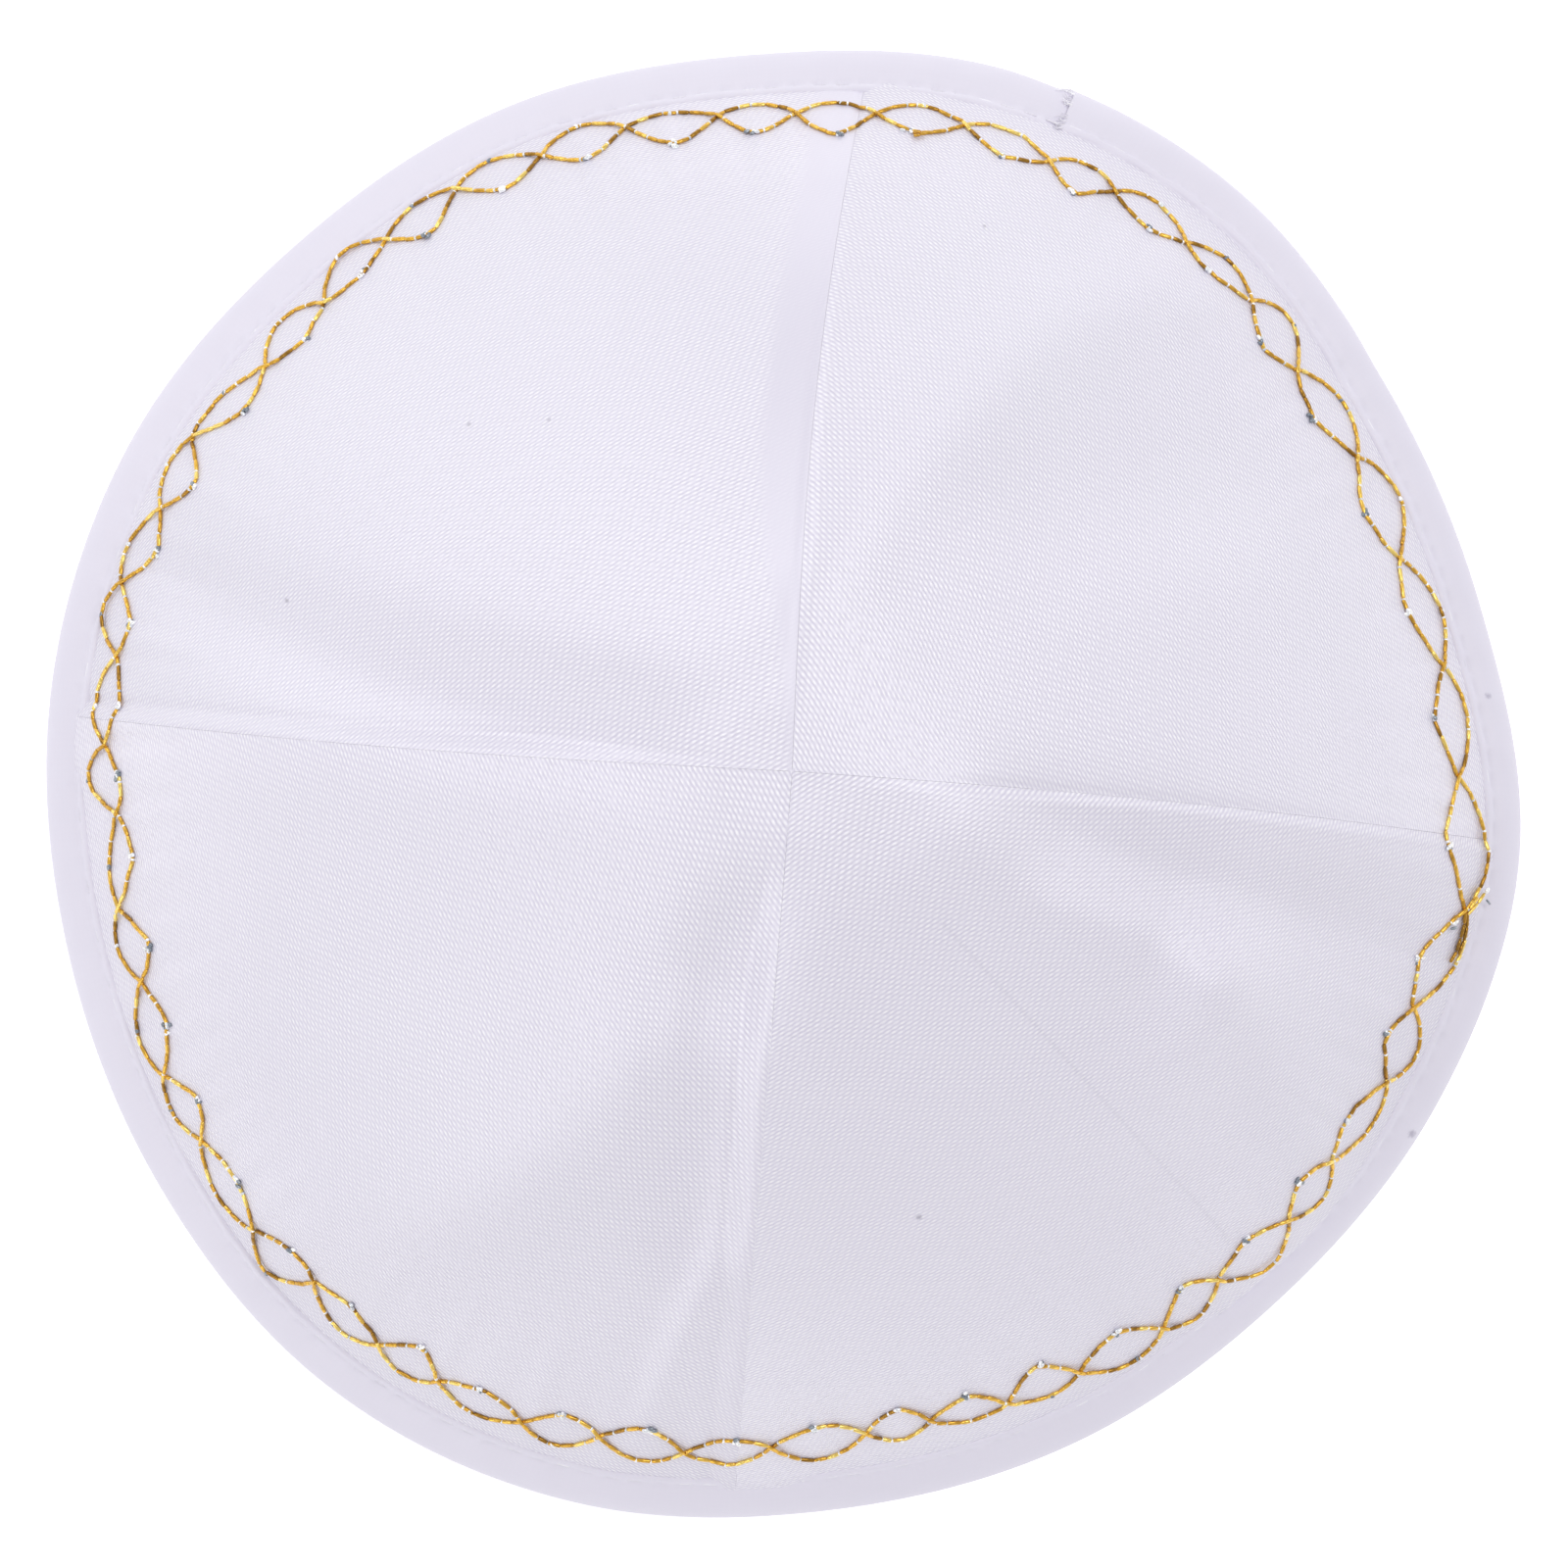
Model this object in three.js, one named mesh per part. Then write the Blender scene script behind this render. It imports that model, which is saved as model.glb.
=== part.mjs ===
// A round skullcap of white satin: four curved gores, sewn along four seams that meet at the crown,
// and one satin tape folded over their lower edge.
// Millimetres, +Z up. The rim rests on Z = 0 and the middle of its box is at X = Y = 0.
import * as THREE from "three";

// Driving sizes
const CLOTH = 1.1; // wall of each gore: satin with its woven backing
const TAPE = 1; // wall of each leg of the folded tape
const GAP = 0.3; // air that every piece keeps to its neighbour
const TAPE_CLIMB = 6.9; // how far the folded tape climbs the slope from the rim
const RIM_SLOPE = THREE.MathUtils.degToRad(48); // steepness of the cap at its rim
// The bearings between which the tape's cut end lies on its start, in degrees, and how it steps up there
const LAP = { from: 46, to: 74.2, ramp: 4, cut: 0.1, thick: 0.8 };

// How finely the shapes are faceted
const ACROSS = 28; // steps from seam to seam
const DOWN = 18; // steps from the crown to the rim

// The rim seen from above: its radius from the crown, every 20 degrees from +X towards +Y
const RIM = [
  { bearing: 0, radius: 89.6 },
  { bearing: 20, radius: 86.7 },
  { bearing: 40, radius: 86.8 },
  { bearing: 60, radius: 89.6 },
  { bearing: 80, radius: 89.9 },
  { bearing: 100, radius: 87.9 },
  { bearing: 120, radius: 88.5 },
  { bearing: 140, radius: 88.5 },
  { bearing: 160, radius: 90.3 },
  { bearing: 180, radius: 91.0 },
  { bearing: 200, radius: 91.0 },
  { bearing: 220, radius: 92.2 },
  { bearing: 240, radius: 93.9 },
  { bearing: 260, radius: 93.0 },
  { bearing: 280, radius: 90.2 },
  { bearing: 300, radius: 88.9 },
  { bearing: 320, radius: 87.7 },
  { bearing: 340, radius: 88.7 },
];

// The dome's height on the way from the crown to the rim, in the middle of a gore and at a seam
const PROFILE = [
  { way: 0.0, middle: 60.0, seam: 60.0 },
  { way: 0.1, middle: 59.5, seam: 59.7 },
  { way: 0.2, middle: 57.3, seam: 57.7 },
  { way: 0.35, middle: 51.3, seam: 52.7 },
  { way: 0.5, middle: 42.9, seam: 45.6 },
  { way: 0.65, middle: 32.4, seam: 35.7 },
  { way: 0.8, middle: 20.2, seam: 22.4 },
  { way: 0.9, middle: 10.6, seam: 11.4 },
  { way: 1.0, middle: 0.0, seam: 0.0 },
];

// Each seam's bearing at the rim, and how far it bows sideways on the way there
const SEAMS = {
  right: { bearing: 1.3, bow: 0.8 },
  back: { bearing: 90.6, bow: 1.9 },
  left: { bearing: 182.3, bow: 0.8 },
  front: { bearing: 272.4, bow: 0 },
};

// Each gore runs from one seam to the next; full is how far its lower half swells past the profile
const GORES = [
  { name: "gore_back_right", from: "right", to: "back", full: -1.6 },
  { name: "gore_back_left", from: "back", to: "left", full: 0.4 },
  { name: "gore_front_left", from: "left", to: "front", full: 2.2 },
  { name: "gore_front_right", from: "front", to: "right", full: 0.2 },
];

// Soft ridges (rise above 0) and troughs (below 0). Each runs from one bearing to another, over part of
// the way down, with a half width in millimetres.
const FOLDS = [
  { start: 180, end: 168, from: 0.08, to: 0.97, wide: 6.5, rise: -3.3 },
  { start: 254, end: 226, from: 0.25, to: 1.0, wide: 12, rise: 3.0 },
  { start: 257, end: 266, from: 0.06, to: 0.7, wide: 4.5, rise: -2.1 },
  { start: 269, end: 262, from: 0.55, to: 1.0, wide: 2.8, rise: 1.4 },
  { start: 353, end: 351, from: 0.2, to: 1.0, wide: 6.5, rise: -2.8 },
  { start: 345, end: 340, from: 0.12, to: 0.75, wide: 7, rise: 1.9 },
  { start: 340, end: 322, from: 0.5, to: 1.06, wide: 12, rise: 5.8 },
  { start: 89, end: 53, from: 0.12, to: 0.97, wide: 8, rise: 2.0 },
  { start: 56, end: 38, from: 0.3, to: 0.85, wide: 9, rise: -1.0 },
  { start: 32, end: 29, from: 0.45, to: 0.9, wide: 7, rise: 0.7 },
];
const FOLD_FADE = 0.16; // share of the way over which a fold rises and dies away
const SWELL_LOW = 1.6; // above 1, a gore swells most below the middle of its way
const SLOPE_STEP = 0.01; // share of the way over which the slope is measured

const SATIN = { color: 0xe7e3ef, roughness: 0.38, metalness: 0 };
const TAPE_SATIN = { color: 0xe2deee, roughness: 0.45, metalness: 0 };

const radians = THREE.MathUtils.degToRad;

// The value of one column of a table where another column equals at, on a smooth curve through the rows.
// A table that goes round is given its span, after which it repeats.
function readTable(rows, key, column, at, span = 0) {
  const count = rows.length;
  const row = (i) => {
    const turns = span ? Math.floor(i / count) : 0;
    const kept = span ? rows[i - turns * count] : rows[Math.min(Math.max(i, 0), count - 1)];
    return { x: kept[key] + turns * span, y: kept[column] };
  };
  const x = span ? THREE.MathUtils.euclideanModulo(at, span) : at;
  let i = 0;
  while (i < count - (span ? 1 : 2) && rows[i + 1]?.[key] <= x) i += 1;
  const [before, left, right, after] = [row(i - 1), row(i), row(i + 1), row(i + 2)];
  const width = right.x - left.x;
  const share = (x - left.x) / width;
  const slopeLeft = (right.y - before.y) / (right.x - before.x);
  const slopeRight = (after.y - left.y) / (after.x - left.x);
  const s2 = share * share;
  const s3 = s2 * share;
  return (
    (2 * s3 - 3 * s2 + 1) * left.y +
    (s3 - 2 * s2 + share) * width * slopeLeft +
    (3 * s2 - 2 * s3) * right.y +
    (s3 - s2) * width * slopeRight
  );
}

// The tape stands outside the cloth, so the cloth's own line ends inside the rim's.
const EDGE_INSET = (GAP + TAPE) / Math.sin(RIM_SLOPE);

function clothRadius(bearing) {
  return readTable(RIM, "bearing", "radius", bearing, 360) - EDGE_INSET;
}

// The bearing of a seam on the way down, in degrees
function seamBearing(seam, way) {
  const radius = clothRadius(seam.bearing);
  const perWay = way > 0 ? Math.sin(Math.PI * way) / way : Math.PI;
  return seam.bearing + THREE.MathUtils.radToDeg((seam.bow * perWay) / radius);
}

// Where a gore starts and ends on the way down: its seams, with the last one a turn on where it must be
function goreSides(gore, way) {
  const from = seamBearing(SEAMS[gore.from], way);
  const to = seamBearing(SEAMS[gore.to], way);
  return [from, to > from ? to : to + 360];
}

// How much the soft ridges and troughs lift the cloth
function foldLift(bearing, way) {
  let lift = 0;
  for (const fold of FOLDS) {
    const along = THREE.MathUtils.clamp((way - fold.from) / (fold.to - fold.from), 0, 1);
    const middle = THREE.MathUtils.lerp(fold.start, fold.end, along);
    const turn = THREE.MathUtils.euclideanModulo(bearing - middle + 180, 360) - 180;
    const aside = (radians(turn) * way * clothRadius(bearing)) / fold.wide;
    const fadeIn = THREE.MathUtils.smoothstep(way, fold.from, fold.from + FOLD_FADE);
    const fadeOut = 1 - THREE.MathUtils.smoothstep(way, fold.to - FOLD_FADE, fold.to);
    lift += fold.rise * Math.exp(-aside * aside) * fadeIn * fadeOut;
  }
  return lift;
}

// The height of the cloth's outside at a bearing and a share of the way down
function clothHeight(gore, bearing, way) {
  const [from, to] = goreSides(gore, way);
  const across = THREE.MathUtils.clamp((bearing - from) / (to - from), 0, 1);
  const middling = Math.sin(Math.PI * across);
  const seam = readTable(PROFILE, "way", "seam", way);
  const middle = readTable(PROFILE, "way", "middle", way);
  const swell = gore.full * middling * Math.sin(Math.PI * way ** SWELL_LOW);
  return THREE.MathUtils.lerp(seam, middle, middling) + swell + foldLift(bearing, way);
}

// A point of the cloth's outside, moved out along its normal in the upright plane through the crown
function clothPoint(gore, bearing, way, out = 0) {
  const radius = clothRadius(bearing);
  const inner = Math.max(way - SLOPE_STEP, 0);
  const outer = Math.min(way + SLOPE_STEP, 1);
  const run = (outer - inner) * radius;
  const fall = clothHeight(gore, bearing, inner) - clothHeight(gore, bearing, outer);
  const slope = Math.atan2(fall, run);
  const reach = way * radius + out * Math.sin(slope);
  const height = clothHeight(gore, bearing, way) + out * Math.cos(slope);
  const angle = radians(bearing);
  return new THREE.Vector3(reach * Math.cos(angle), reach * Math.sin(angle), height);
}

// A closed body from a list of triangles given as points' numbers; the ones without area are left out.
function closedBody(points, triangles) {
  const geometry = new THREE.BufferGeometry();
  const kept = triangles.filter(([a, b, c]) => a !== b && b !== c && c !== a);
  geometry.setAttribute("position", new THREE.Float32BufferAttribute(points.flatMap((p) => p.toArray()), 3));
  geometry.setIndex(kept.flat());
  geometry.computeVertexNormals();
  return geometry;
}

// The shares of the way down at which the cloth and the tape start and stop
const WAY_PER_MM = Math.cos(RIM_SLOPE) / clothRadius(0);
const TAPE_TOP = 1 - TAPE_CLIMB * WAY_PER_MM;
const EDGE_RISE = TAPE + (CLOTH + GAP) * Math.cos(RIM_SLOPE) + GAP * Math.sin(RIM_SLOPE);
const CLOTH_END = 1 - (EDGE_RISE / Math.sin(RIM_SLOPE)) * WAY_PER_MM;

// The rows of a gore: one point at the crown, even rows down to the tape, and the hidden cloth edge
function goreWays() {
  const ways = [0];
  for (let i = 1; i < DOWN; i += 1) {
    ways.push((TAPE_TOP * i) / (DOWN - 1));
  }
  return [...ways, CLOTH_END];
}

// A point of a gore, clear of its neighbours by half a gap on each side; its tip keeps clear of theirs.
function gorePoint(gore, way, across, out) {
  const [from, to] = goreSides(gore, way);
  if (way === 0) {
    const middle = (from + to) / 2;
    return clothPoint(gore, middle, GAP / Math.SQRT2 / clothRadius(middle), out);
  }
  const aside = THREE.MathUtils.radToDeg(GAP / 2 / (way * clothRadius(from)));
  return clothPoint(gore, THREE.MathUtils.lerp(from + aside, to - aside, across), way, out);
}

function goreBody(gore) {
  const points = [];
  const ways = goreWays();
  const grid = [0, -CLOTH].map((out) =>
    ways.map((way, row) =>
      Array.from({ length: ACROSS + 1 }, (_, i) => {
        if (row > 0 || i === 0) {
          points.push(gorePoint(gore, way, i / ACROSS, out));
        }
        return points.length - 1;
      }),
    ),
  );
  const [outside, inside] = grid;
  const triangles = [];
  const quad = (a, b, c, d) => triangles.push([a, b, c], [a, c, d]);
  for (let row = 0; row < DOWN; row += 1) {
    for (let i = 0; i < ACROSS; i += 1) {
      quad(outside[row][i], outside[row + 1][i], outside[row + 1][i + 1], outside[row][i + 1]);
      quad(inside[row][i], inside[row][i + 1], inside[row + 1][i + 1], inside[row + 1][i]);
    }
    quad(outside[row][0], inside[row][0], inside[row + 1][0], outside[row + 1][0]);
    quad(outside[row][ACROSS], outside[row + 1][ACROSS], inside[row + 1][ACROSS], inside[row][ACROSS]);
  }
  for (let i = 0; i < ACROSS; i += 1) {
    quad(outside[DOWN][i], inside[DOWN][i], inside[DOWN][i + 1], outside[DOWN][i + 1]);
  }
  return closedBody(points, triangles);
}

// How much thicker the tape is at a bearing, where its cut end lies on its start
function lapThickness(bearing) {
  if (bearing > LAP.to) {
    return 0;
  }
  return LAP.thick * THREE.MathUtils.smoothstep(bearing, LAP.from, LAP.from + LAP.ramp);
}

// The folded tape cut across at a bearing: eight corners, from the top of its outer leg down, along the
// flat underside, up its inner leg, and back through the slot that holds the cloth's edge
function tapeSection(gore, bearing) {
  const top = clothPoint(gore, bearing, TAPE_TOP);
  const edge = clothPoint(gore, bearing, CLOTH_END);
  const down = edge.clone().sub(top).normalize();
  const out = new THREE.Vector3(0, 0, 1).addScaledVector(down, -down.z).normalize();
  const at = (start, outward, along = 0) =>
    start.clone().addScaledVector(out, outward).addScaledVector(down, along);
  const onFloor = (point) => point.clone().addScaledVector(down, -point.z / down.z);
  const outer = GAP + TAPE + lapThickness(bearing);
  const inner = -(CLOTH + GAP);
  return [
    at(top, outer),
    onFloor(at(top, outer)),
    onFloor(at(top, inner - TAPE)),
    at(top, inner - TAPE),
    at(top, inner),
    at(edge, inner, GAP),
    at(edge, GAP, GAP),
    at(top, GAP),
  ];
}

// The bearings at which the tape is cut, with its two at the step where its end lies
function tapeBearings() {
  const bearings = [];
  for (const gore of GORES) {
    const [from, to] = goreSides(gore, 1);
    for (let i = 0; i < ACROSS; i += 1) {
      bearings.push({ gore, bearing: THREE.MathUtils.lerp(from, to, i / ACROSS) });
    }
  }
  const step = GORES[0];
  bearings.push({ gore: step, bearing: LAP.to }, { gore: step, bearing: LAP.to + LAP.cut });
  return bearings.sort((a, b) => a.bearing - b.bearing);
}

function tapeBody() {
  const sections = tapeBearings().map(({ gore, bearing }) => tapeSection(gore, bearing));
  const corners = sections[0].length;
  const triangles = [];
  sections.forEach((_, i) => {
    const next = (i + 1) % sections.length;
    for (let corner = 0; corner < corners; corner += 1) {
      const after = (corner + 1) % corners;
      const here = [i * corners + corner, i * corners + after];
      const there = [next * corners + corner, next * corners + after];
      triangles.push([here[0], here[1], there[1]], [here[0], there[1], there[0]]);
    }
  });
  return closedBody(sections.flat(), triangles);
}

function addPiece(group, name, geometry, look) {
  const piece = new THREE.Mesh(geometry, new THREE.MeshStandardMaterial(look));
  piece.name = name;
  group.add(piece);
}

const cap = new THREE.Group();
for (const gore of GORES) {
  addPiece(cap, gore.name, goreBody(gore), SATIN);
}
addPiece(cap, "rim_binding", tapeBody(), TAPE_SATIN);

// The shapes are worked out round the crown, and the cap is set down with its box's middle at the origin.
const middle = new THREE.Box3().setFromObject(cap).getCenter(new THREE.Vector3());
cap.position.set(-middle.x, -middle.y, 0);

export default cap;
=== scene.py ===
# %% [markdown]
# # A white satin skullcap, sewn from four gores
#
# The cap lies on its rim with the dome up, and the camera looks straight down on it. Four gores of satin
# meet at the crown, a satin tape is folded over the rim, and two gold threads cross in a row of lenses
# above it.
#
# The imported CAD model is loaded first. It fixes every size and place, and each piece made here stands in
# for one of its solids or is sewn onto one.

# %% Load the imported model
import math

import bpy
import numpy as np
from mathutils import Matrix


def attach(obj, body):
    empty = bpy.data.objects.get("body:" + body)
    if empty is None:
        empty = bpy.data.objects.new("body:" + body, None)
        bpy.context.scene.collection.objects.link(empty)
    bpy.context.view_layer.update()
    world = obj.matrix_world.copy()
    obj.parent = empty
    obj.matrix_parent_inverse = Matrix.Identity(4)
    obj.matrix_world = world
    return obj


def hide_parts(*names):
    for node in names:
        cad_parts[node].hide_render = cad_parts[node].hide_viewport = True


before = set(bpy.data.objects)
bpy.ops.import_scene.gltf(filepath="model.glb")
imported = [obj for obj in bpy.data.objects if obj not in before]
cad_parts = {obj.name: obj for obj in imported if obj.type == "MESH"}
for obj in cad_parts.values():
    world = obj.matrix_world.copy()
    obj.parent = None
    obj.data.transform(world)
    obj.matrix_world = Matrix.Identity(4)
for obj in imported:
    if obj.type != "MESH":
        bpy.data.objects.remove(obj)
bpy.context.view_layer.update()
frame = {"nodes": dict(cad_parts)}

print("CAD nodes:", ", ".join(frame["nodes"]))

# %% [markdown]
# ## A few helpers
#
# The cap's sizes are known in millimetres and Blender is set to metres, so one number turns one into the
# other. Colours are picked as sRGB hex values, as a paint chart gives them, and the shaders want linear
# values.

# %% Units, colours and nodes
MM = 0.001


def colour(hex_code):
    """A hex colour such as "E7E3EF" as linear red, green, blue and alpha."""
    parts = [int(hex_code[i : i + 2], 16) / 255 for i in (0, 2, 4)]
    return [p / 12.92 if p <= 0.04045 else ((p + 0.055) / 1.055) ** 2.4 for p in parts] + [1.0]


def add_node(tree, kind, values=None, links=None, **settings):
    """Adds a node: values fill its sockets, links join other nodes to them, settings are its own options."""
    node = tree.nodes.new(kind)
    for name, value in settings.items():
        setattr(node, name, value)
    for socket, value in (values or {}).items():
        node.inputs[socket].default_value = value
    for socket, source in (links or {}).items():
        tree.links.new(source, node.inputs[socket])
    return node


def select_only(obj):
    """Operators act on all that is selected, so exactly one object is."""
    bpy.ops.object.select_all(action="DESELECT")
    obj.select_set(True)
    bpy.context.view_layer.objects.active = obj


def smooth_step(value, low, high):
    """0 below low, 1 above high, and an S-shaped rise between them."""
    share = np.clip((value - low) / (high - low), 0, 1)
    return share * share * (3 - 2 * share)


# %% [markdown]
# ## The cap's shape, as a few short tables
#
# A sewn cap is no ball: it is as round as its rim is, as high as its gores are long, and its four seams
# stand a little prouder than the cloth between them. So it is described in polar terms round the crown. A
# bearing says which way a point lies, in degrees from +X towards +Y, and its way says how far down it is,
# from 0 at the crown to 1 at the rim. The same tables shape the CAD solids, and therefore the two fit
# without any fitting.

# %% The tables
RIM = [
    {"bearing": 0, "radius": 89.6},
    {"bearing": 20, "radius": 86.7},
    {"bearing": 40, "radius": 86.8},
    {"bearing": 60, "radius": 89.6},
    {"bearing": 80, "radius": 89.9},
    {"bearing": 100, "radius": 87.9},
    {"bearing": 120, "radius": 88.5},
    {"bearing": 140, "radius": 88.5},
    {"bearing": 160, "radius": 90.3},
    {"bearing": 180, "radius": 91.0},
    {"bearing": 200, "radius": 91.0},
    {"bearing": 220, "radius": 92.2},
    {"bearing": 240, "radius": 93.9},
    {"bearing": 260, "radius": 93.0},
    {"bearing": 280, "radius": 90.2},
    {"bearing": 300, "radius": 88.9},
    {"bearing": 320, "radius": 87.7},
    {"bearing": 340, "radius": 88.7},
]
PROFILE = [
    {"way": 0.0, "middle": 60.0, "seam": 60.0},
    {"way": 0.1, "middle": 59.5, "seam": 59.7},
    {"way": 0.2, "middle": 57.3, "seam": 57.7},
    {"way": 0.35, "middle": 51.3, "seam": 52.7},
    {"way": 0.5, "middle": 42.9, "seam": 45.6},
    {"way": 0.65, "middle": 32.4, "seam": 35.7},
    {"way": 0.8, "middle": 20.2, "seam": 22.4},
    {"way": 0.9, "middle": 10.6, "seam": 11.4},
    {"way": 1.0, "middle": 0.0, "seam": 0.0},
]
# raised is the side of each seam that its allowances hold up, +1 for rising bearings. The cloth climbs by
# rise over the width of roll, which starts at foot, all in millimetres from the seam. Beside the seam a
# strip is pulled smooth, and the last number says how much of its weave that takes away and how much
# painted shade darkens the strip.
SEAMS = [
    {
        "name": "right", "bearing": 1.3, "bow": 0.8, "raised": -1,
        "foot": 0.0, "roll": 1.5, "rise": 0.38, "strip": 1.0, "smooth": 0.3,
    },
    {
        "name": "back", "bearing": 90.6, "bow": 1.9, "raised": -1,
        "foot": 0.0, "roll": 1.4, "rise": 0.3, "strip": 5.0, "smooth": 1.0,
    },
    {
        "name": "left", "bearing": 182.3, "bow": 0.8, "raised": 1,
        "foot": -2.2, "roll": 2.0, "rise": 0.5, "strip": 1.2, "smooth": 0.2,
    },
    {
        "name": "front", "bearing": 272.4, "bow": 0.0, "raised": 1,
        "foot": -3.2, "roll": 2.8, "rise": 0.6, "strip": 1.5, "smooth": 0.2,
    },
]
# Each gore starts at the seam of the same row. full is how far its lower half swells past the profile, and
# turned says that its grain runs the other way.
GORES = [
    {"name": "back_right", "full": -1.6, "turned": True},
    {"name": "back_left", "full": 0.4, "turned": False},
    {"name": "front_left", "full": 2.2, "turned": True},
    {"name": "front_right", "full": 0.2, "turned": False},
]
# Soft ridges (rise above 0) and troughs (below 0). Each runs from one bearing to another, over part of the
# way down, with a half width in millimetres.
FOLDS = [
    {"start": 180, "end": 168, "from": 0.08, "to": 0.97, "wide": 6.5, "rise": -3.3},
    {"start": 254, "end": 226, "from": 0.25, "to": 1.0, "wide": 12, "rise": 3.0},
    {"start": 257, "end": 266, "from": 0.06, "to": 0.7, "wide": 4.5, "rise": -2.1},
    {"start": 269, "end": 262, "from": 0.55, "to": 1.0, "wide": 2.8, "rise": 1.4},
    {"start": 353, "end": 351, "from": 0.2, "to": 1.0, "wide": 6.5, "rise": -2.8},
    {"start": 345, "end": 340, "from": 0.12, "to": 0.75, "wide": 7, "rise": 1.9},
    {"start": 340, "end": 322, "from": 0.5, "to": 1.06, "wide": 12, "rise": 5.8},
    {"start": 89, "end": 53, "from": 0.12, "to": 0.97, "wide": 8, "rise": 2.0},
    {"start": 56, "end": 38, "from": 0.3, "to": 0.85, "wide": 9, "rise": -1.0},
    {"start": 32, "end": 29, "from": 0.45, "to": 0.9, "wide": 7, "rise": 0.7},
]
# Share of the way over which a fold rises and dies away
FOLD_FADE = 0.16
# Above 1, a gore swells most below the middle of its way.
SWELL_LOW = 1.6
# The tape and the air inside it stand outside the cloth, so the cloth's own line ends inside the rim's.
RIM_SLOPE = math.radians(48)
TAPE_STANDS = 1.3
EDGE_INSET = TAPE_STANDS / math.sin(RIM_SLOPE)


# %% [markdown]
# A table is read on a smooth curve through its rows, so a handful of rows gives a soft outline. Whole
# arrays of points go through at once, which keeps the script quick.

# %% Read a table
def table_value(rows, key, column, at, span=0.0):
    """One column of a table at some values of its key. A table with a span repeats after it."""
    xs = [row[key] for row in rows]
    ys = [row[column] for row in rows]
    at = np.asarray(at, float)
    if span:
        at = np.mod(at, span)
        xs = [x - span for x in xs[-2:]] + xs + [x + span for x in xs[:2]]
        ys = ys[-2:] + ys + ys[:2]
    else:
        xs = xs[:1] + xs + xs[-1:]
        ys = ys[:1] + ys + ys[-1:]
    xs = np.array(xs, float)
    ys = np.array(ys, float)
    i = np.clip(np.searchsorted(xs, at, side="right") - 1, 1, len(xs) - 3)
    width = xs[i + 1] - xs[i]
    s = (at - xs[i]) / width
    slope_left = (ys[i + 1] - ys[i - 1]) / (xs[i + 1] - xs[i - 1])
    slope_right = (ys[i + 2] - ys[i]) / (xs[i + 2] - xs[i])
    return (
        (2 * s**3 - 3 * s**2 + 1) * ys[i]
        + (s**3 - 2 * s**2 + s) * width * slope_left
        + (3 * s**2 - 2 * s**3) * ys[i + 1]
        + (s**3 - s**2) * width * slope_right
    )


print("rim radius at 10 degrees:", round(float(table_value(RIM, "bearing", "radius", 10, 360)), 2), "mm")

# %% [markdown]
# The height at a point is the profile's, between the one at a seam and the one in the middle of a gore,
# plus the gore's own fullness and the folds that cross there. A fold is a smooth bump that dies away at
# both ends.

# %% Where the seams run, and the cloth's height
# Keeps a division from meeting 0 at the crown
TINY = 1e-6


def rim_radius(bearing):
    """How far the tape's outside is from the crown, seen from above."""
    return table_value(RIM, "bearing", "radius", bearing, 360)


def cloth_radius(bearing):
    """How far the cloth would reach from the crown, if the tape didn't hold it up."""
    return rim_radius(bearing) - EDGE_INSET


def seam_bearing(seam, way):
    """A seam bows a little sideways on its way down."""
    way = np.maximum(way, TINY)
    turn = seam["bow"] * np.sin(np.pi * way) / way / cloth_radius(seam["bearing"])
    return seam["bearing"] + np.degrees(turn)


def gore_sides(index, way):
    """The bearings of a gore's two seams."""
    last = seam_bearing(SEAMS[(index + 1) % 4], way)
    return seam_bearing(SEAMS[index], way), last + (360 if index == 3 else 0)


def fold_lift(bearing, way):
    """How much the soft ridges and troughs lift the cloth."""
    lift = np.zeros(np.broadcast(bearing, way).shape)
    for fold in FOLDS:
        along = np.clip((way - fold["from"]) / (fold["to"] - fold["from"]), 0, 1)
        middle = fold["start"] + (fold["end"] - fold["start"]) * along
        turn = np.mod(bearing - middle + 180, 360) - 180
        aside = np.radians(turn) * way * cloth_radius(bearing) / fold["wide"]
        fade = smooth_step(way, fold["from"], fold["from"] + FOLD_FADE)
        fade = fade * (1 - smooth_step(way, fold["to"] - FOLD_FADE, fold["to"]))
        lift = lift + fold["rise"] * np.exp(-aside * aside) * fade
    return lift


def cloth_height(bearing, way):
    """The height of the cloth's outside, without its finest relief."""
    bearing, way = np.broadcast_arrays(np.asarray(bearing, float), np.asarray(way, float))
    seam = table_value(PROFILE, "way", "seam", way)
    middle = table_value(PROFILE, "way", "middle", way)
    height = seam + fold_lift(bearing, way)
    for index, gore in enumerate(GORES):
        first, last = gore_sides(index, way)
        across = np.mod(bearing - first, 360) / (last - first)
        middling = np.sin(np.pi * np.clip(across, 0, 1))
        swell = gore["full"] * np.sin(np.pi * way**SWELL_LOW)
        height = height + middling * (middle - seam + swell)
    return height


# The CAD model stands with the middle of its box at the origin, which puts the crown a little aside.
CROWN = np.array([0.705, 1.442])
print("crown in mm:", CROWN, "dome height in mm:", float(cloth_height(0, 0)))

# %% [markdown]
# ## The relief that sewing leaves
#
# Inside the cap, both seam allowances of a seam are pressed to one side. There the cloth stands a little
# higher. It climbs to that height at the seam itself or, where it lies in a soft pleat, a few millimetres
# before it, and a shallow groove runs along the foot of the climb. The embroidery and the topstitch also
# shorten the cloth near the rim, which answers with small puckers. This relief is only tenths of a
# millimetre, but a satin shows it more than anything else, because every change of slope moves its sheen.

# %% Seam relief, puckers and soft unevenness
# The allowances' width, and over how much more of it the cloth falls back to its own line
ALLOWANCE = 5.5
ALLOWANCE_FALL = 7.0
# The groove's depth and half width
GROOVE = 0.17
GROOVE_WIDE = 0.6
# The heights of the puckers near the rim and of the soft unevenness everywhere
PUCKER = 0.09
UNEVEN = 0.2
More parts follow.
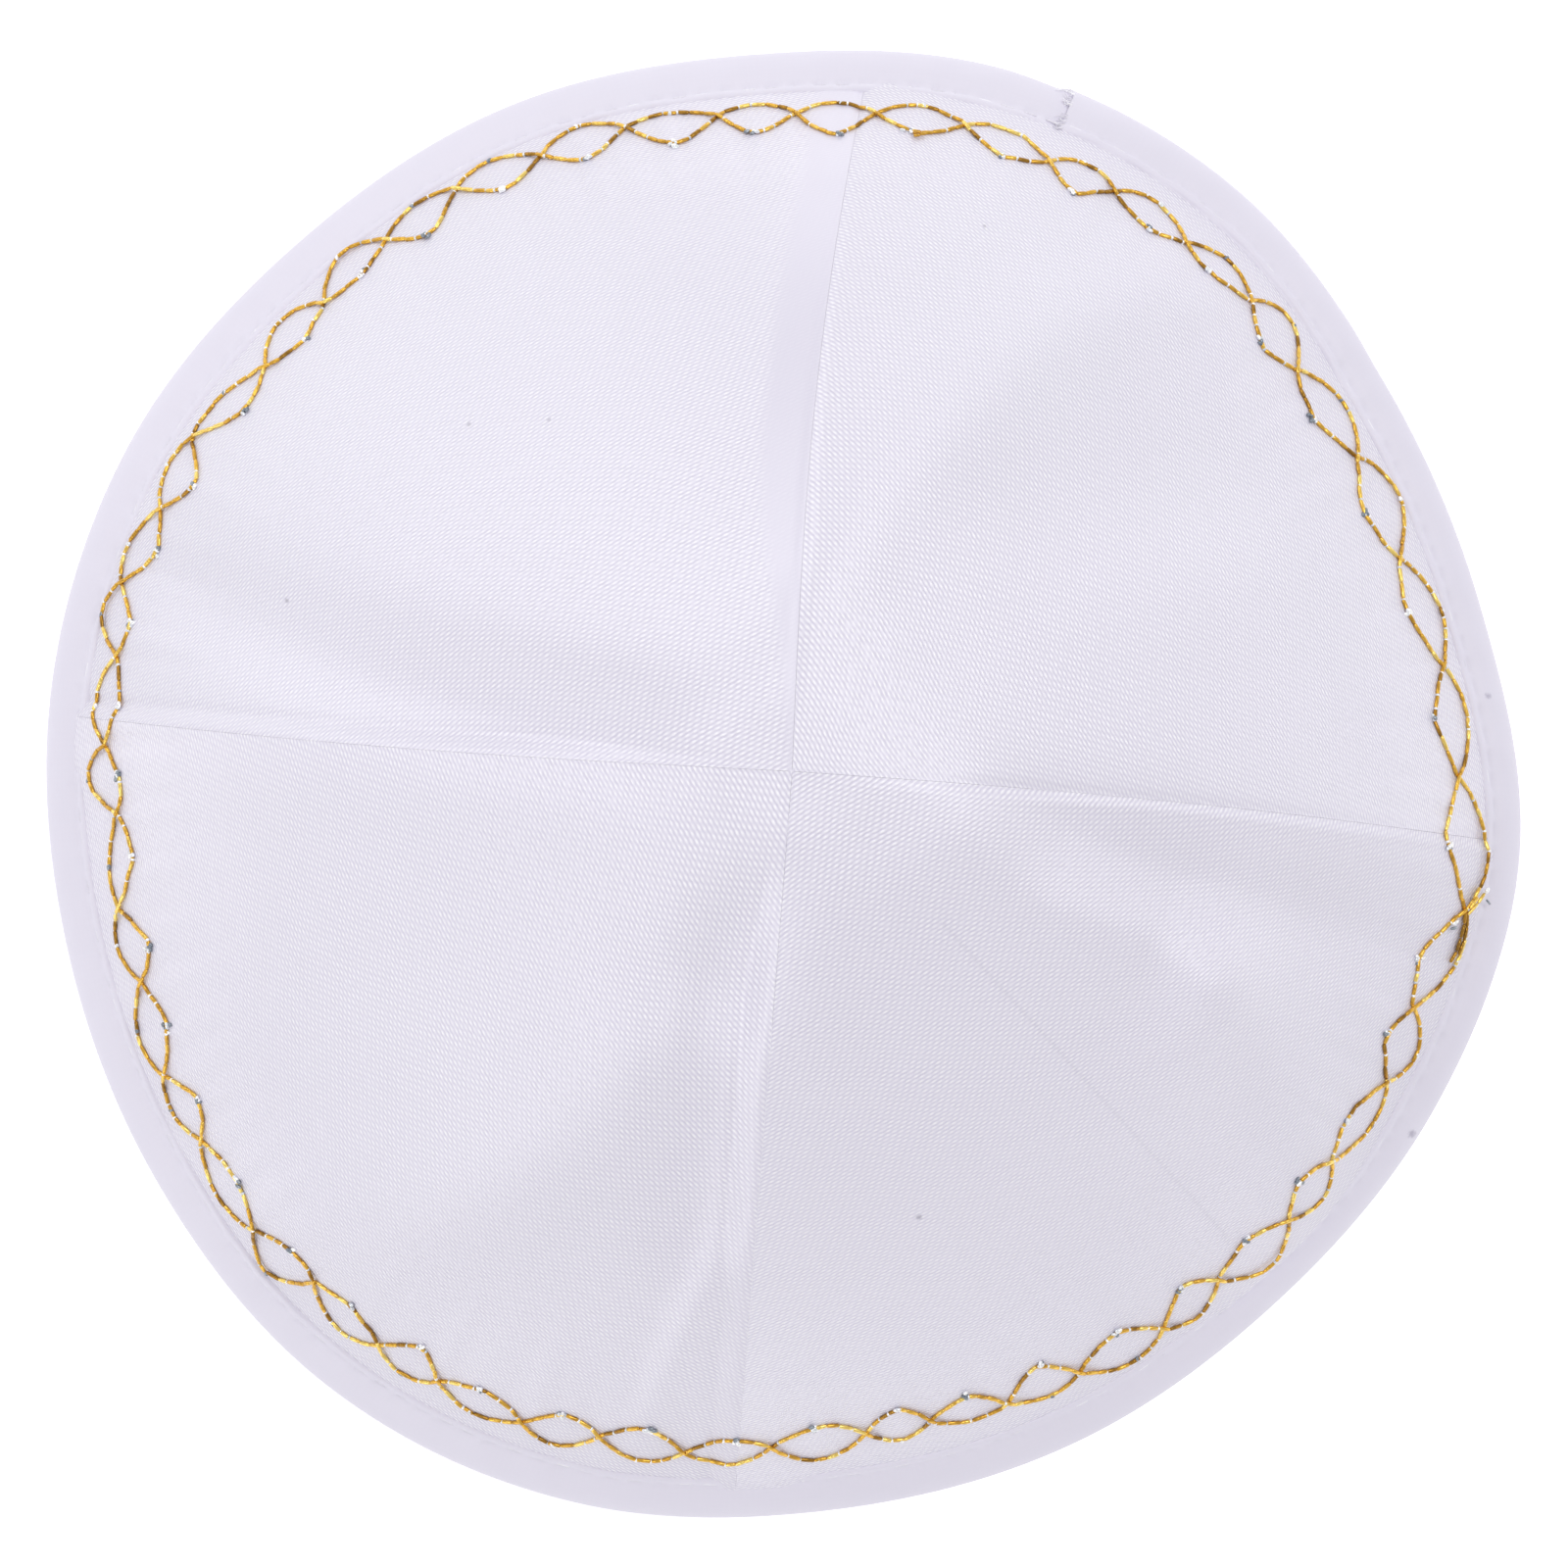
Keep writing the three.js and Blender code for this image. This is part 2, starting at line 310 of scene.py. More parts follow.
# The shares of the way down between which each begins and reaches its full size
STRIP_GROWS = (0.0, 0.45)
ALLOWANCE_GROWS = (0.0, 0.35)
RELIEF_GROWS = (0.02, 0.3)
PUCKER_GROWS = (0.74, 0.86)
PUCKER_ENDS = (0.9, 0.96)
UNEVEN_GROWS = (0.1, 0.3)
# Past this many degrees from a seam nothing belongs to it, and its points count as this far away.
SEAM_REACH = 60
FAR_AWAY = 999.0


def seam_aside(seam, bearing, way):
    """How far a point lies from a seam in millimetres, above 0 on the side of its pressed allowances."""
    turn = np.mod(bearing - seam_bearing(seam, way) + 180, 360) - 180
    aside = np.radians(turn) * way * cloth_radius(bearing) * seam["raised"]
    return np.where(np.abs(turn) < SEAM_REACH, aside, FAR_AWAY)


def smooth_strip(bearing, way):
    """1 on the smooth strips beside the seams, where the cloth is pulled flat, its weave fades and painted
    shade darkens it.
    """
    strip = np.zeros(np.broadcast(bearing, way).shape)
    for seam in SEAMS:
        aside = seam_aside(seam, bearing, way)
        wide = seam["strip"] * smooth_step(way, *STRIP_GROWS)
        part = smooth_step(aside, -wide - 1.6, -wide + 0.6) * (1 - smooth_step(aside, -0.1, 0.25))
        strip = strip + seam["smooth"] * part
    return np.clip(strip, 0, 1)


def fine_relief(bearing, way):
    """The finest relief of the cloth, in millimetres along its normal."""
    relief = np.zeros(np.broadcast(bearing, way).shape)
    radius = way * cloth_radius(bearing)
    for seam in SEAMS:
        aside = seam_aside(seam, bearing, way)
        wide = ALLOWANCE * smooth_step(way, *ALLOWANCE_GROWS)
        grown = smooth_step(way, *RELIEF_GROWS)
        foot = seam["foot"] * (0.3 + 0.7 * grown)
        band = smooth_step(aside, foot, foot + seam["roll"])
        band = band * (1 - smooth_step(aside, wide - 2.0, wide + ALLOWANCE_FALL))
        groove = np.exp(-(((aside - foot + 0.2) / GROOVE_WIDE) ** 2))
        relief = relief + grown * (seam["rise"] * band - GROOVE * groove)
    along = np.radians(bearing) * cloth_radius(bearing)
    ripple = np.sin(along / 1.1 + 1.7 * np.sin(along / 9.0)) + 0.6 * np.sin(along / 0.63 + 2.0)
    near_rim = smooth_step(way, *PUCKER_GROWS) * (1 - smooth_step(way, *PUCKER_ENDS))
    x = radius * np.cos(np.radians(bearing))
    y = radius * np.sin(np.radians(bearing))
    soft = np.sin(x / 7.3 + 1.3 * np.sin(y / 11.0)) * np.sin(y / 8.9 + 1.1 * np.sin(x / 13.0) + 0.7)
    uneven = UNEVEN * soft * smooth_step(way, *UNEVEN_GROWS) * (1 - way)
    return relief + PUCKER * ripple * near_rim + uneven


# Share of the way over which the slope is measured
SLOPE_STEP = 0.01


def cloth_point(bearing, way, out=0.0, fine=True):
    """Points of the cloth in millimetres, moved out along the normal in the upright plane of the crown."""
    bearing, way, out = np.broadcast_arrays(*(np.asarray(v, float) for v in (bearing, way, out)))
    radius = cloth_radius(bearing)
    upper = np.maximum(way - SLOPE_STEP, 0)
    lower = np.minimum(way + SLOPE_STEP, 1)
    fall = cloth_height(bearing, upper) - cloth_height(bearing, lower)
    slope = np.arctan2(fall, (lower - upper) * radius)
    if fine:
        out = out + fine_relief(bearing, way)
    reach = way * radius + out * np.sin(slope)
    angle = np.radians(bearing)
    height = cloth_height(bearing, way) + out * np.cos(slope)
    return np.stack([CROWN[0] + reach * np.cos(angle), CROWN[1] + reach * np.sin(angle), height], axis=-1)


relief = fine_relief(np.linspace(0, 360, 361), 0.6)
print("relief 0.6 of the way down:", round(relief.min(), 2), "to", round(relief.max(), 2), "mm")

# %% [markdown]
# ## Sheets of cloth
#
# Every gore starts as a flat grid, as a gore starts as flat cloth, and its points are then moved to where
# the cloth lies. Cloth simulation would sag such a cap by chance, and this cap's folds have to lie where
# they do on the real one, so the folds come from the tables instead. Solidify gives the cloth its thickness
# inwards.
#
# Each point keeps its place in the flat cut as its UV, in decimetres. The weave reads it, so the threads
# follow the cloth as they would if it had really been cut and sewn.

# %% A grid that is moved into shape
# Faces that meet at less than this angle are shaded as one smooth surface.
CREASE = math.radians(50)
# Points closer than this many millimetres are one point.
MERGE = 0.004


def grid_sheet(name, across, down):
    """A flat grid of faces, with each point's place in it, from 0 to 1 both ways."""
    bpy.ops.object.select_all(action="DESELECT")
    bpy.ops.mesh.primitive_grid_add(x_subdivisions=across, y_subdivisions=down, size=1, location=(0, 0, 0))
    sheet = bpy.context.object
    sheet.name = name
    sheet.data.name = name
    flat = np.empty(len(sheet.data.vertices) * 3)
    sheet.data.vertices.foreach_get("co", flat)
    flat = flat.reshape(-1, 3)
    return sheet, flat[:, 0] + 0.5, 0.5 - flat[:, 1]


def move_points(sheet, points, flat_cut):
    """Moves a sheet's points, given in millimetres, and keeps their places in the flat cut as its UV map."""
    mesh = sheet.data
    mesh.vertices.foreach_set("co", (points * MM).ravel())
    corners = np.empty(len(mesh.loops), int)
    mesh.loops.foreach_get("vertex_index", corners)
    layer = mesh.uv_layers[0] if mesh.uv_layers else mesh.uv_layers.new()
    layer.name = "flat_cut"
    layer.data.foreach_set("uv", (flat_cut[corners] / 100).ravel())
    mesh.update()


def paint_points(sheet, name, values):
    """Keeps one number for each point, which a material can read by its name."""
    layer = sheet.data.attributes.new(name, "FLOAT", "POINT")
    layer.data.foreach_set("value", np.asarray(values, float).ravel())


def finish_sheet(sheet, thick):
    """Closes the pole or the ring's join, gives the sheet its thickness inwards and smooths its shading."""
    select_only(sheet)
    bpy.ops.object.mode_set(mode="EDIT")
    bpy.ops.mesh.select_all(action="SELECT")
    bpy.ops.mesh.remove_doubles(threshold=MERGE * MM)
    bpy.ops.object.mode_set(mode="OBJECT")
    solid = sheet.modifiers.new("thickness", "SOLIDIFY")
    solid.thickness = thick * MM
    solid.offset = -1
    solid.material_offset = 1
    solid.material_offset_rim = 0
    bpy.ops.object.modifier_apply(modifier=solid.name)
    bpy.ops.object.shade_smooth_by_angle(angle=CREASE)


def flat_area(sheet):
    """The area of the flat cut in square metres, from the UV map."""
    mesh = sheet.data
    mesh.calc_loop_triangles()
    corners = np.empty(len(mesh.loop_triangles) * 3, int)
    mesh.loop_triangles.foreach_get("loops", corners)
    uv = np.empty(len(mesh.loops) * 2)
    mesh.uv_layers["flat_cut"].data.foreach_get("uv", uv)
    a, b, c = np.moveaxis(uv.reshape(-1, 2)[corners].reshape(-1, 3, 2) / 10, 1, 0)
    return float(np.abs(np.cross(b - a, c - a)).sum() / 2)


# %% [markdown]
# ## The four gores
#
# A gore runs from seam to seam and from the crown to the cut edge that the tape hides. The columns of its
# grid lie closer near the seams, where the relief is sharp, and one more column on each side turns in, as a
# seam allowance does, so no light comes through the seam.

# %% Make the gores
CLOTH_THICK = 0.7
ACROSS = 150
DOWN = 150
# The share of the way at which the cloth is cut off, under the tape
CLOTH_END = 0.975
# How deep the allowance's edge turns in, and half of the air at a seam
LIP = 0.9
HAIR = 0.01
# The rim's radius where its own shape doesn't matter
ROUGH_RADIUS = 88
# The share of the columns' spacing that is even. The rest is closer near the seams.
EVEN = 0.3

# The length of cloth from the crown down to each way, along the middle of a gore
MEAN_RADIUS = 87.8
ways = np.linspace(0, 1, 400)
steps = np.hypot(np.diff(ways) * MEAN_RADIUS, np.diff(table_value(PROFILE, "way", "middle", ways)))
cloth_length = np.concatenate([[0], np.cumsum(steps)])


def flat_place(index, bearing, way):
    """A point's place in the flat cut, in millimetres, with the grain along the gore's two seams."""
    first, last = gore_sides(index, way)
    length = np.maximum(np.interp(way, ways, cloth_length), TINY)
    middle = (first + last) / 2
    spread = np.radians(bearing - middle) * np.where(way > 0, way * cloth_radius(bearing) / length, 1)
    angle = np.radians(middle) + spread
    u = length * np.cos(angle)
    v = length * np.sin(angle)
    return np.stack([v, -u] if GORES[index]["turned"] else [u, v], axis=-1)


def make_gore(index):
    """One gore as a sheet with its own grain."""
    gore = GORES[index]
    sheet, across, down = grid_sheet("satin_gore_" + gore["name"], ACROSS + 2, DOWN)
    column = np.round(across * (ACROSS + 2)) - 1
    lip = (column < 0) | (column > ACROSS)
    even = np.clip(column / ACROSS, 0, 1)
    share = EVEN * even + (1 - EVEN) * (0.5 - 0.5 * np.cos(np.pi * even))
    way = down * CLOTH_END
    first, last = gore_sides(index, way)
    hair = np.degrees(HAIR / np.maximum(way * ROUGH_RADIUS, HAIR * 2))
    bearing = first + hair + (last - first - 2 * hair) * share
    points = cloth_point(bearing, way, np.where(lip, -LIP, 0))
    move_points(sheet, points, flat_place(index, bearing, way))
    # On the strips beside the seams the weave fades, and painted shade makes them a little darker.
    paint_points(sheet, "weave_shows_unshaded", 1 - 0.9 * smooth_strip(bearing, way))
    finish_sheet(sheet, CLOTH_THICK)
    return sheet


gores = [make_gore(index) for index in range(4)]
for gore in gores:
    print(gore.name, len(gore.data.polygons), "faces")

# %% [markdown]
# ## Polyester satin
#
# Satin is woven so that most of each warp thread floats on top, crossing under a weft only now and then,
# one step further along in each row. The floats make fine slanting rows of dots and a sheen that runs one
# way. An image of a weave could be laid over the cloth, but waves made in the shader stay sharp at every
# distance. Three of them make the dots: one across each set of threads and one along the slant. They drive
# a small bump and a small change of colour, at the real spacing of 0.76 and 0.60 mm. The colour change is
# painted light: a painted highlight on each float and painted shade between them.

# %% The weave's height
WARP_PITCH = 0.76
WEFT_PITCH = 0.60
# A wave turns this often in a decimetre, the UV map's unit, if its threads lie 1 mm apart.
TURNS = 2 * math.pi * 100
# The warp wanders sideways by up to an eighth of its spacing, and back again within some 1.7 mm.
WANDER = 1.6
WANDER_SCALE = 60.0


def weave_height(tree, uv, slant):
    """The height of woven cloth, about -1 to 1, from waves across its threads and along its slant."""
    wobble = add_node(tree, "ShaderNodeTexNoise", {"Scale": WANDER_SCALE, "Detail": 2.0}, {"Vector": uv})
    phases = []
    for across in ((TURNS / WARP_PITCH, 0, 0), (0, TURNS / WEFT_PITCH, 0)):
        phase = add_node(tree, "ShaderNodeVectorMath", {1: across}, {0: uv}, operation="DOT_PRODUCT")
        phases.append(phase.outputs["Value"])
    even_warp, weft = phases
    links = {0: wobble.outputs["Fac"], 2: even_warp}
    warp = add_node(tree, "ShaderNodeMath", {1: WANDER}, links, operation="MULTIPLY_ADD").outputs[0]
    both = add_node(tree, "ShaderNodeMath", {}, {0: warp, 1: weft}, operation="SUBTRACT").outputs[0]
    total = None
    for phase, share in ((warp, 0.5 - slant / 2), (weft, 0.5 - slant / 2), (both, slant)):
        wave = add_node(tree, "ShaderNodeMath", {}, {0: phase}, operation="COSINE").outputs[0]
        links = {0: wave} if total is None else {0: wave, 2: total}
        summed = add_node(tree, "ShaderNodeMath", {1: share, 2: 0.0}, links, operation="MULTIPLY_ADD")
        total = summed.outputs[0]
    return total


def woven_cloth(tree, uv, slant, light, dark):
    """The weave's height, and its colour, with painted highlight where a thread lies high and painted shade
    in the gaps.
    """
    height = weave_height(tree, uv, slant)
    # Some floats stand out more than others.
    uneven = add_node(tree, "ShaderNodeTexNoise", {"Scale": 130.0, "Detail": 1.0}, {"Vector": uv})
    uneven = add_node(
        tree,
        "ShaderNodeMapRange",
        {"From Min": 0.3, "From Max": 0.7, "To Min": 0.5, "To Max": 1.4},
        {"Value": uneven.outputs["Fac"]},
    ).outputs["Result"]
    shows_unshaded = add_node(tree, "ShaderNodeAttribute", attribute_name="weave_shows_unshaded").outputs["Fac"]
    for share in (uneven, shows_unshaded):
        height = add_node(tree, "ShaderNodeMath", {}, {0: height, 1: share}, operation="MULTIPLY").outputs[0]
    # Painted shade: the strips beside the seams, where the weave fades, are painted a little darker, where
    # their sheen falls away.
    shade = add_node(tree, "ShaderNodeMath", {1: 0.22}, {0: shows_unshaded, 2: height}, operation="MULTIPLY_ADD")
    share = add_node(
        tree, "ShaderNodeMapRange", {"From Min": -0.38, "From Max": 1.22}, {"Value": shade.outputs[0]}
    ).outputs["Result"]
    # Painted highlight on the high floats, painted shade in the gaps between them
    tint = add_node(
        tree, "ShaderNodeMix", {"A": colour(dark), "B": colour(light)}, {"Factor": share}, data_type="RGBA"
    ).outputs["Result"]
    return height, tint


# %% [markdown]
# Worn cloth isn't evenly white. This one has pale grey clouds a few centimetres wide, a handful of small
# specks and one pulled thread. Painting them on an image would fix their sharpness too, so each is a rule
# in the shader: a stain is everything nearer to its middle than its radius, with a grain of 0.4 mm that
# makes its edge ragged.

# %% Clouds, stains and a pulled thread
CLOUDY = "D2CEDD"
CLOUD_SCALE = 28.0
GRAIN_SCALE = 2400.0
# A pulled thread shows as a thin dark line: x and y of its ends in millimetres, and its width
PULLED = {"start": (18.6, -12.7), "end": (58.5, -47.0), "wide": 0.35}
PULLED_TINT = "A9A4B6"
PULLED_SHOWS = 0.1


def pulled_thread(tree, flat, start, end, wide):
    """1 on a thin line between two places in millimetres."""
    start = np.array(start) * MM
    line = np.array(end) * MM - start
    length = float(np.linalg.norm(line))
    along_line = line / length
    across_line = np.array([-along_line[1], along_line[0]])
    spots = []
    for way, middle in ((along_line, length / 2), (across_line, 0.0)):
        place = add_node(tree, "ShaderNodeVectorMath", {1: (*way, 0)}, {0: flat}, operation="DOT_PRODUCT")
        place = place.outputs["Value"]
        middle = float(start @ way) + middle
        away = add_node(tree, "ShaderNodeMath", {1: middle}, {0: place}, operation="SUBTRACT").outputs[0]
        spots.append(add_node(tree, "ShaderNodeMath", {}, {0: away}, operation="ABSOLUTE").outputs[0])
    inside = add_node(tree, "ShaderNodeMath", {1: length / 2}, {0: spots[0]}, operation="LESS_THAN")
    inside = inside.outputs[0]
    thin = add_node(
        tree,
        "ShaderNodeMapRange",
        {"From Min": 0.2 * wide * MM, "From Max": wide * MM, "To Min": 1.0, "To Max": 0.0},
        {"Value": spots[1]},
    ).outputs["Result"]
    return add_node(tree, "ShaderNodeMath", {}, {0: inside, 1: thin}, operation="MULTIPLY").outputs[0]


def marked_cloth(tree, tint, marks, pulled):
    """A tint with clouds, stains and a pulled thread over it."""
    place = add_node(tree, "ShaderNodeTexCoord").outputs["Object"]
    cloud = add_node(tree, "ShaderNodeTexNoise", {"Scale": CLOUD_SCALE, "Detail": 3.0}, {"Vector": place})
    pale = add_node(
        tree,
        "ShaderNodeMapRange",
        {"From Min": 0.3, "From Max": 0.7, "To Min": 0.0, "To Max": 0.16},
        {"Value": cloud.outputs["Fac"]},
    ).outputs["Result"]
    overlays = [(CLOUDY, pale)]
    ragged = add_node(tree, "ShaderNodeTexNoise", {"Scale": GRAIN_SCALE, "Detail": 2.0}, {"Vector": place})
    ragged = ragged.outputs["Fac"]
    flat = add_node(tree, "ShaderNodeVectorMath", {1: (1, 1, 0)}, {0: place}, operation="MULTIPLY")
    flat = flat.outputs["Vector"]
    for x, y, radius, stain in marks:
        away = add_node(
            tree, "ShaderNodeVectorMath", {1: (x * MM, y * MM, 0)}, {0: flat}, operation="DISTANCE"
        ).outputs["Value"]
        away = add_node(
            tree, "ShaderNodeMath", {1: 1.2 * radius * MM}, {0: ragged, 2: away}, operation="MULTIPLY_ADD"
        ).outputs[0]
        edge = {"From Min": 0.7 * radius * MM, "From Max": 1.7 * radius * MM, "To Min": 0.8, "To Max": 0.0}
        mark = add_node(
            tree, "ShaderNodeMapRange", edge, {"Value": away}, interpolation_type="SMOOTHSTEP"
        ).outputs["Result"]
        overlays.append((stain, mark))
    if pulled:
        line = pulled_thread(tree, flat, **pulled)
        part = add_node(tree, "ShaderNodeMath", {1: PULLED_SHOWS}, {0: line}, operation="MULTIPLY")
        overlays.append((PULLED_TINT, part.outputs[0]))
    for over, share in overlays:
        tint = add_node(
            tree, "ShaderNodeMix", {"B": colour(over)}, {"A": tint, "Factor": share}, data_type="RGBA"
        ).outputs["Result"]
    return tint


# %% [markdown]
# The satin itself is polyester, woven from bright filament. It is anisotropic: its highlight is drawn out
# across the floats. The shader takes their direction from the flat cut, so the sheen turns with the grain
# from gore to gore, which is why two gores look light where the other two look dark. The inside is the same
# cloth's back: white, plain and dull.

# %% Satin and its backing
# Light passes from air into polyester with this index of refraction.
POLYESTER_IOR = 1.6
# The height of a float over its neighbours, in millimetres
FLOAT_HIGH = 0.06


def satin_material(name, light, dark, roughness, anisotropic, specular, bump, slant, marks=(), pulled=None):
    """Woven satin, whose light and dark colours are the weave's painted highlight and painted shade. Marks
    are small stains: x, y and radius in millimetres, and a hex colour.
    """
    material = bpy.data.materials.new(name)
    material.use_nodes = True
    tree = material.node_tree
    shader = tree.nodes["Principled BSDF"]
    uv = add_node(tree, "ShaderNodeUVMap", uv_map="flat_cut").outputs["UV"]
    height, tint = woven_cloth(tree, uv, slant, light, dark)
    tree.links.new(marked_cloth(tree, tint, marks, pulled), shader.inputs["Base Color"])
    relief = {"Strength": bump, "Distance": FLOAT_HIGH * MM}
    relief = add_node(tree, "ShaderNodeBump", relief, {"Height": height})
    tree.links.new(relief.outputs["Normal"], shader.inputs["Normal"])
    tangent = add_node(tree, "ShaderNodeTangent", direction_type="UV_MAP", uv_map="flat_cut")
    tree.links.new(tangent.outputs["Tangent"], shader.inputs["Tangent"])
    shader.inputs["Roughness"].default_value = roughness
    shader.inputs["Anisotropic"].default_value = anisotropic
    shader.inputs["Specular IOR Level"].default_value = specular
    shader.inputs["IOR"].default_value = POLYESTER_IOR
    shader.inputs["Sheen Weight"].default_value = 0.1
    shader.inputs["Sheen Roughness"].default_value = 0.4
    return material


# Small grey specks that the real cap has: x, y and radius in millimetres, and their colour
SPECKS = [
    (-59.2, 14.1, 0.35, "A9A3B4"),
    (-40.3, 36.2, 0.40, "B7B2C2"),
    (-31.0, 37.4, 0.35, "B9B4C4"),
    (20.9, -46.6, 0.45, "9C96AA"),
    (15.4, 67.1, 0.30, "B5B0C0"),
]
# Woven bright side: a broad soft sheen across the floats. Its two colours are the weave's painted highlight
# and painted shade.
SATIN = satin_material("polyester_satin_woven", "FBF9FF", "D3CEE1", 0.45, 0.8, 1.0, 0.5, 0.6, SPECKS, PULLED)
# Its back: dull, with the weave hardly standing out
BACKING = satin_material("polyester_satin_back", "F4F2F7", "DEDBE4", 0.8, 0.0, 0.3, 0.6, 0.1)

for gore, row in zip(gores, GORES):
    gore.data.materials.append(SATIN)
    gore.data.materials.append(BACKING)
    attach(gore, "root")
    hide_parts("gore_" + row["name"])
    area = flat_area(gore) / 2
    print(gore.name, "flat area in square metres:", round(area, 5))

# %% [markdown]
# ## Camera, floor and light
#
# The camera stands straight above the cap, 467 mm over the rim, which is how much the weave shrinks towards
# the rim in such a view. It is turned 6.85 degrees, because the cap's seams are. The floor is plain and
# pale. A white sky gives an even high key, and three large soft lights draw the sheen: one near overhead on
# the right, one from the back and one from the front left. Their places were found by trying them against
# the satin's light and dark sides, gore by gore.

# %% Camera, floor and light
EYE_HEIGHT = 467.0
VIEW_WIDE = 192.0
TURN = math.radians(6.85)
SENSOR_WIDE = 36
SKY_STRENGTH = 0.57
PAPER_GLOW = 0.3

camera_data = bpy.data.cameras.new("camera")
camera_data.sensor_width = SENSOR_WIDE
camera_data.lens = SENSOR_WIDE * EYE_HEIGHT / VIEW_WIDE
camera = bpy.data.objects.new("camera", camera_data)
bpy.context.collection.objects.link(camera)
camera.location = (0, 0, EYE_HEIGHT * MM)
camera.rotation_euler = (0, 0, TURN)
bpy.context.scene.camera = camera

bpy.ops.object.select_all(action="DESELECT")
bpy.ops.mesh.primitive_plane_add(size=4, location=(0, 0, 0))
floor = bpy.context.object
floor.name = "floor"
# Matt white paper, which glows a little, as an overexposed background does
paper = bpy.data.materials.new("white_paper")
paper.use_nodes = True
paper_shader = paper.node_tree.nodes["Principled BSDF"]
paper_shader.inputs["Base Color"].default_value = colour("FCFCFC")
paper_shader.inputs["Roughness"].default_value = 0.9
paper_shader.inputs["Emission Color"].default_value = colour("FFFFFF")
paper_shader.inputs["Emission Strength"].default_value = PAPER_GLOW
floor.data.materials.append(paper)

world = bpy.data.worlds.new("white_sky")
bpy.context.scene.world = world
world.use_nodes = True
sky = world.node_tree.nodes["Background"]
sky.inputs["Color"].default_value = (1, 1, 1, 1)
sky.inputs["Strength"].default_value = SKY_STRENGTH

# Each soft light: how far it leans from straight above, its bearing, how far off, how wide and how strong
LIGHTS = [
    {"name": "overhead_light", "lean": 30, "bearing": 38, "away": 1.5, "size": 0.8, "power": 7.5},
    {"name": "back_light", "lean": 60, "bearing": 130, "away": 1.5, "size": 0.8, "power": 4.4},
    {"name": "front_light", "lean": 60, "bearing": 228, "away": 1.5, "size": 0.8, "power": 4.5},
]
for row in LIGHTS:
    lean = math.radians(row["lean"])
    bearing = math.radians(row["bearing"])
    toward = [math.sin(lean) * math.cos(bearing), math.sin(lean) * math.sin(bearing), math.cos(lean)]
    bpy.ops.object.light_add(type="AREA", location=[share * row["away"] for share in toward])
    light = bpy.context.object
    light.name = row["name"]
    light.data.size = row["size"]
    light.data.energy = row["power"]
    light.rotation_euler = (-light.location).to_track_quat("-Z", "Y").to_euler()
    print(light.name, [round(share, 2) for share in light.location])
bpy.context.scene.view_settings.view_transform = "Standard"

# %% [markdown]
# ## The folded tape
#
# The tape is one strip of smooth satin, folded over the cut edge of the gores and stitched through all
# layers. It is made as one more sheet: a long grid whose long side runs round the rim and whose short side
# follows the fold, from its inner edge down, under the cap's edge and up to its outer edge. It goes once
# round and a little further, and its raw end lies over its start.

# %% The tape's tables
# The fold cut across, in millimetres. climb is measured up the slope from the floor, and out along the
# cloth's normal. It runs from the inner edge round the rim to the outer edge.
SECTION = [
    {"at": 0, "climb": 4.5, "out": -0.85},
    {"at": 1, "climb": 4.6, "out": -1.3},
    {"at": 2, "climb": 3.4, "out": -1.5},
    {"at": 3, "climb": 1.9, "out": -1.36},
    {"at": 4, "climb": 1.2, "out": -1.2},
    {"at": 5, "climb": 0.8, "out": -0.89},
    {"at": 6, "climb": 0.0, "out": 0.0},
    {"at": 7, "climb": -0.64, "out": 0.71},
    {"at": 8, "climb": -0.83, "out": 1.07},
    {"at": 9, "climb": -0.82, "out": 1.45},
    {"at": 10, "climb": -0.58, "out": 1.83},
    {"at": 11, "climb": -0.04, "out": 2.0},
    {"at": 12, "climb": 1.1, "out": 1.85},
    {"at": 13, "climb": 2.4, "out": 1.45},
    {"at": 14, "climb": 3.6, "out": 0.85},
    {"at": 15, "climb": 4.6, "out": 0.45},
    {"at": 16, "climb": 5.3, "out": 0.3},
    {"at": 17, "climb": 5.6, "out": 0.12},
    {"at": 18, "climb": 5.8, "out": -0.25},
]
SECTION_LAST = SECTION[-1]["at"]
# The outer leg starts at this place of the section. There the climbs above 1 mm are stretched from 5.7 mm
# to the climb in the next table.
OUTER_LEG = 11
SECTION_CLIMB = 5.7
# How far up the tape reaches on the outside, in millimetres up the slope
CLIMB = [
    {"bearing": 0, "climb": 5.0},
    {"bearing": 45, "climb": 5.5},
    {"bearing": 90, "climb": 6.5},
    {"bearing": 135, "climb": 6.1},
    {"bearing": 180, "climb": 5.7},
    {"bearing": 225, "climb": 5.8},
    {"bearing": 270, "climb": 5.9},
    {"bearing": 315, "climb": 5.3},
]
# The bearings of the strip's ends, and over how many degrees it steps down where it is covered and up where
# it covers, and by how much
STRIP = {"start": 46.0, "end": 434.2, "ramp": 5.0, "under": -0.22, "over": 0.2}
LAP_END = STRIP["end"] - 360
# The covering end is a little narrower, which shows the edge of the layer below.
LAP_NARROWER = 0.6
TAPE_THICK = 0.35
LAYER_AIR = 0.05
# The topstitch: its pitch, a stitch's length and its distance from the tape's edge
STITCH_PITCH = 3.0
STITCH_LONG = 2.3
STITCH_IN = 1.3
GIRTH = 2 * math.pi * ROUGH_RADIUS

# %% [markdown]
# The strip follows the section at every bearing. A strip that laps over itself has to lie a layer lower
# where it is covered and a layer higher where it covers. Small stitch dents and puckers break its
# smoothness.

# %% Where the tape lies
# The shares of the way between which the slope under the tape is taken
UNDER_TAPE = (0.93, 0.98)


def tape_climb(bearing):
    """How far the tape's outer edge is up the slope."""
    return table_value(CLIMB, "bearing", "climb", bearing, 360)


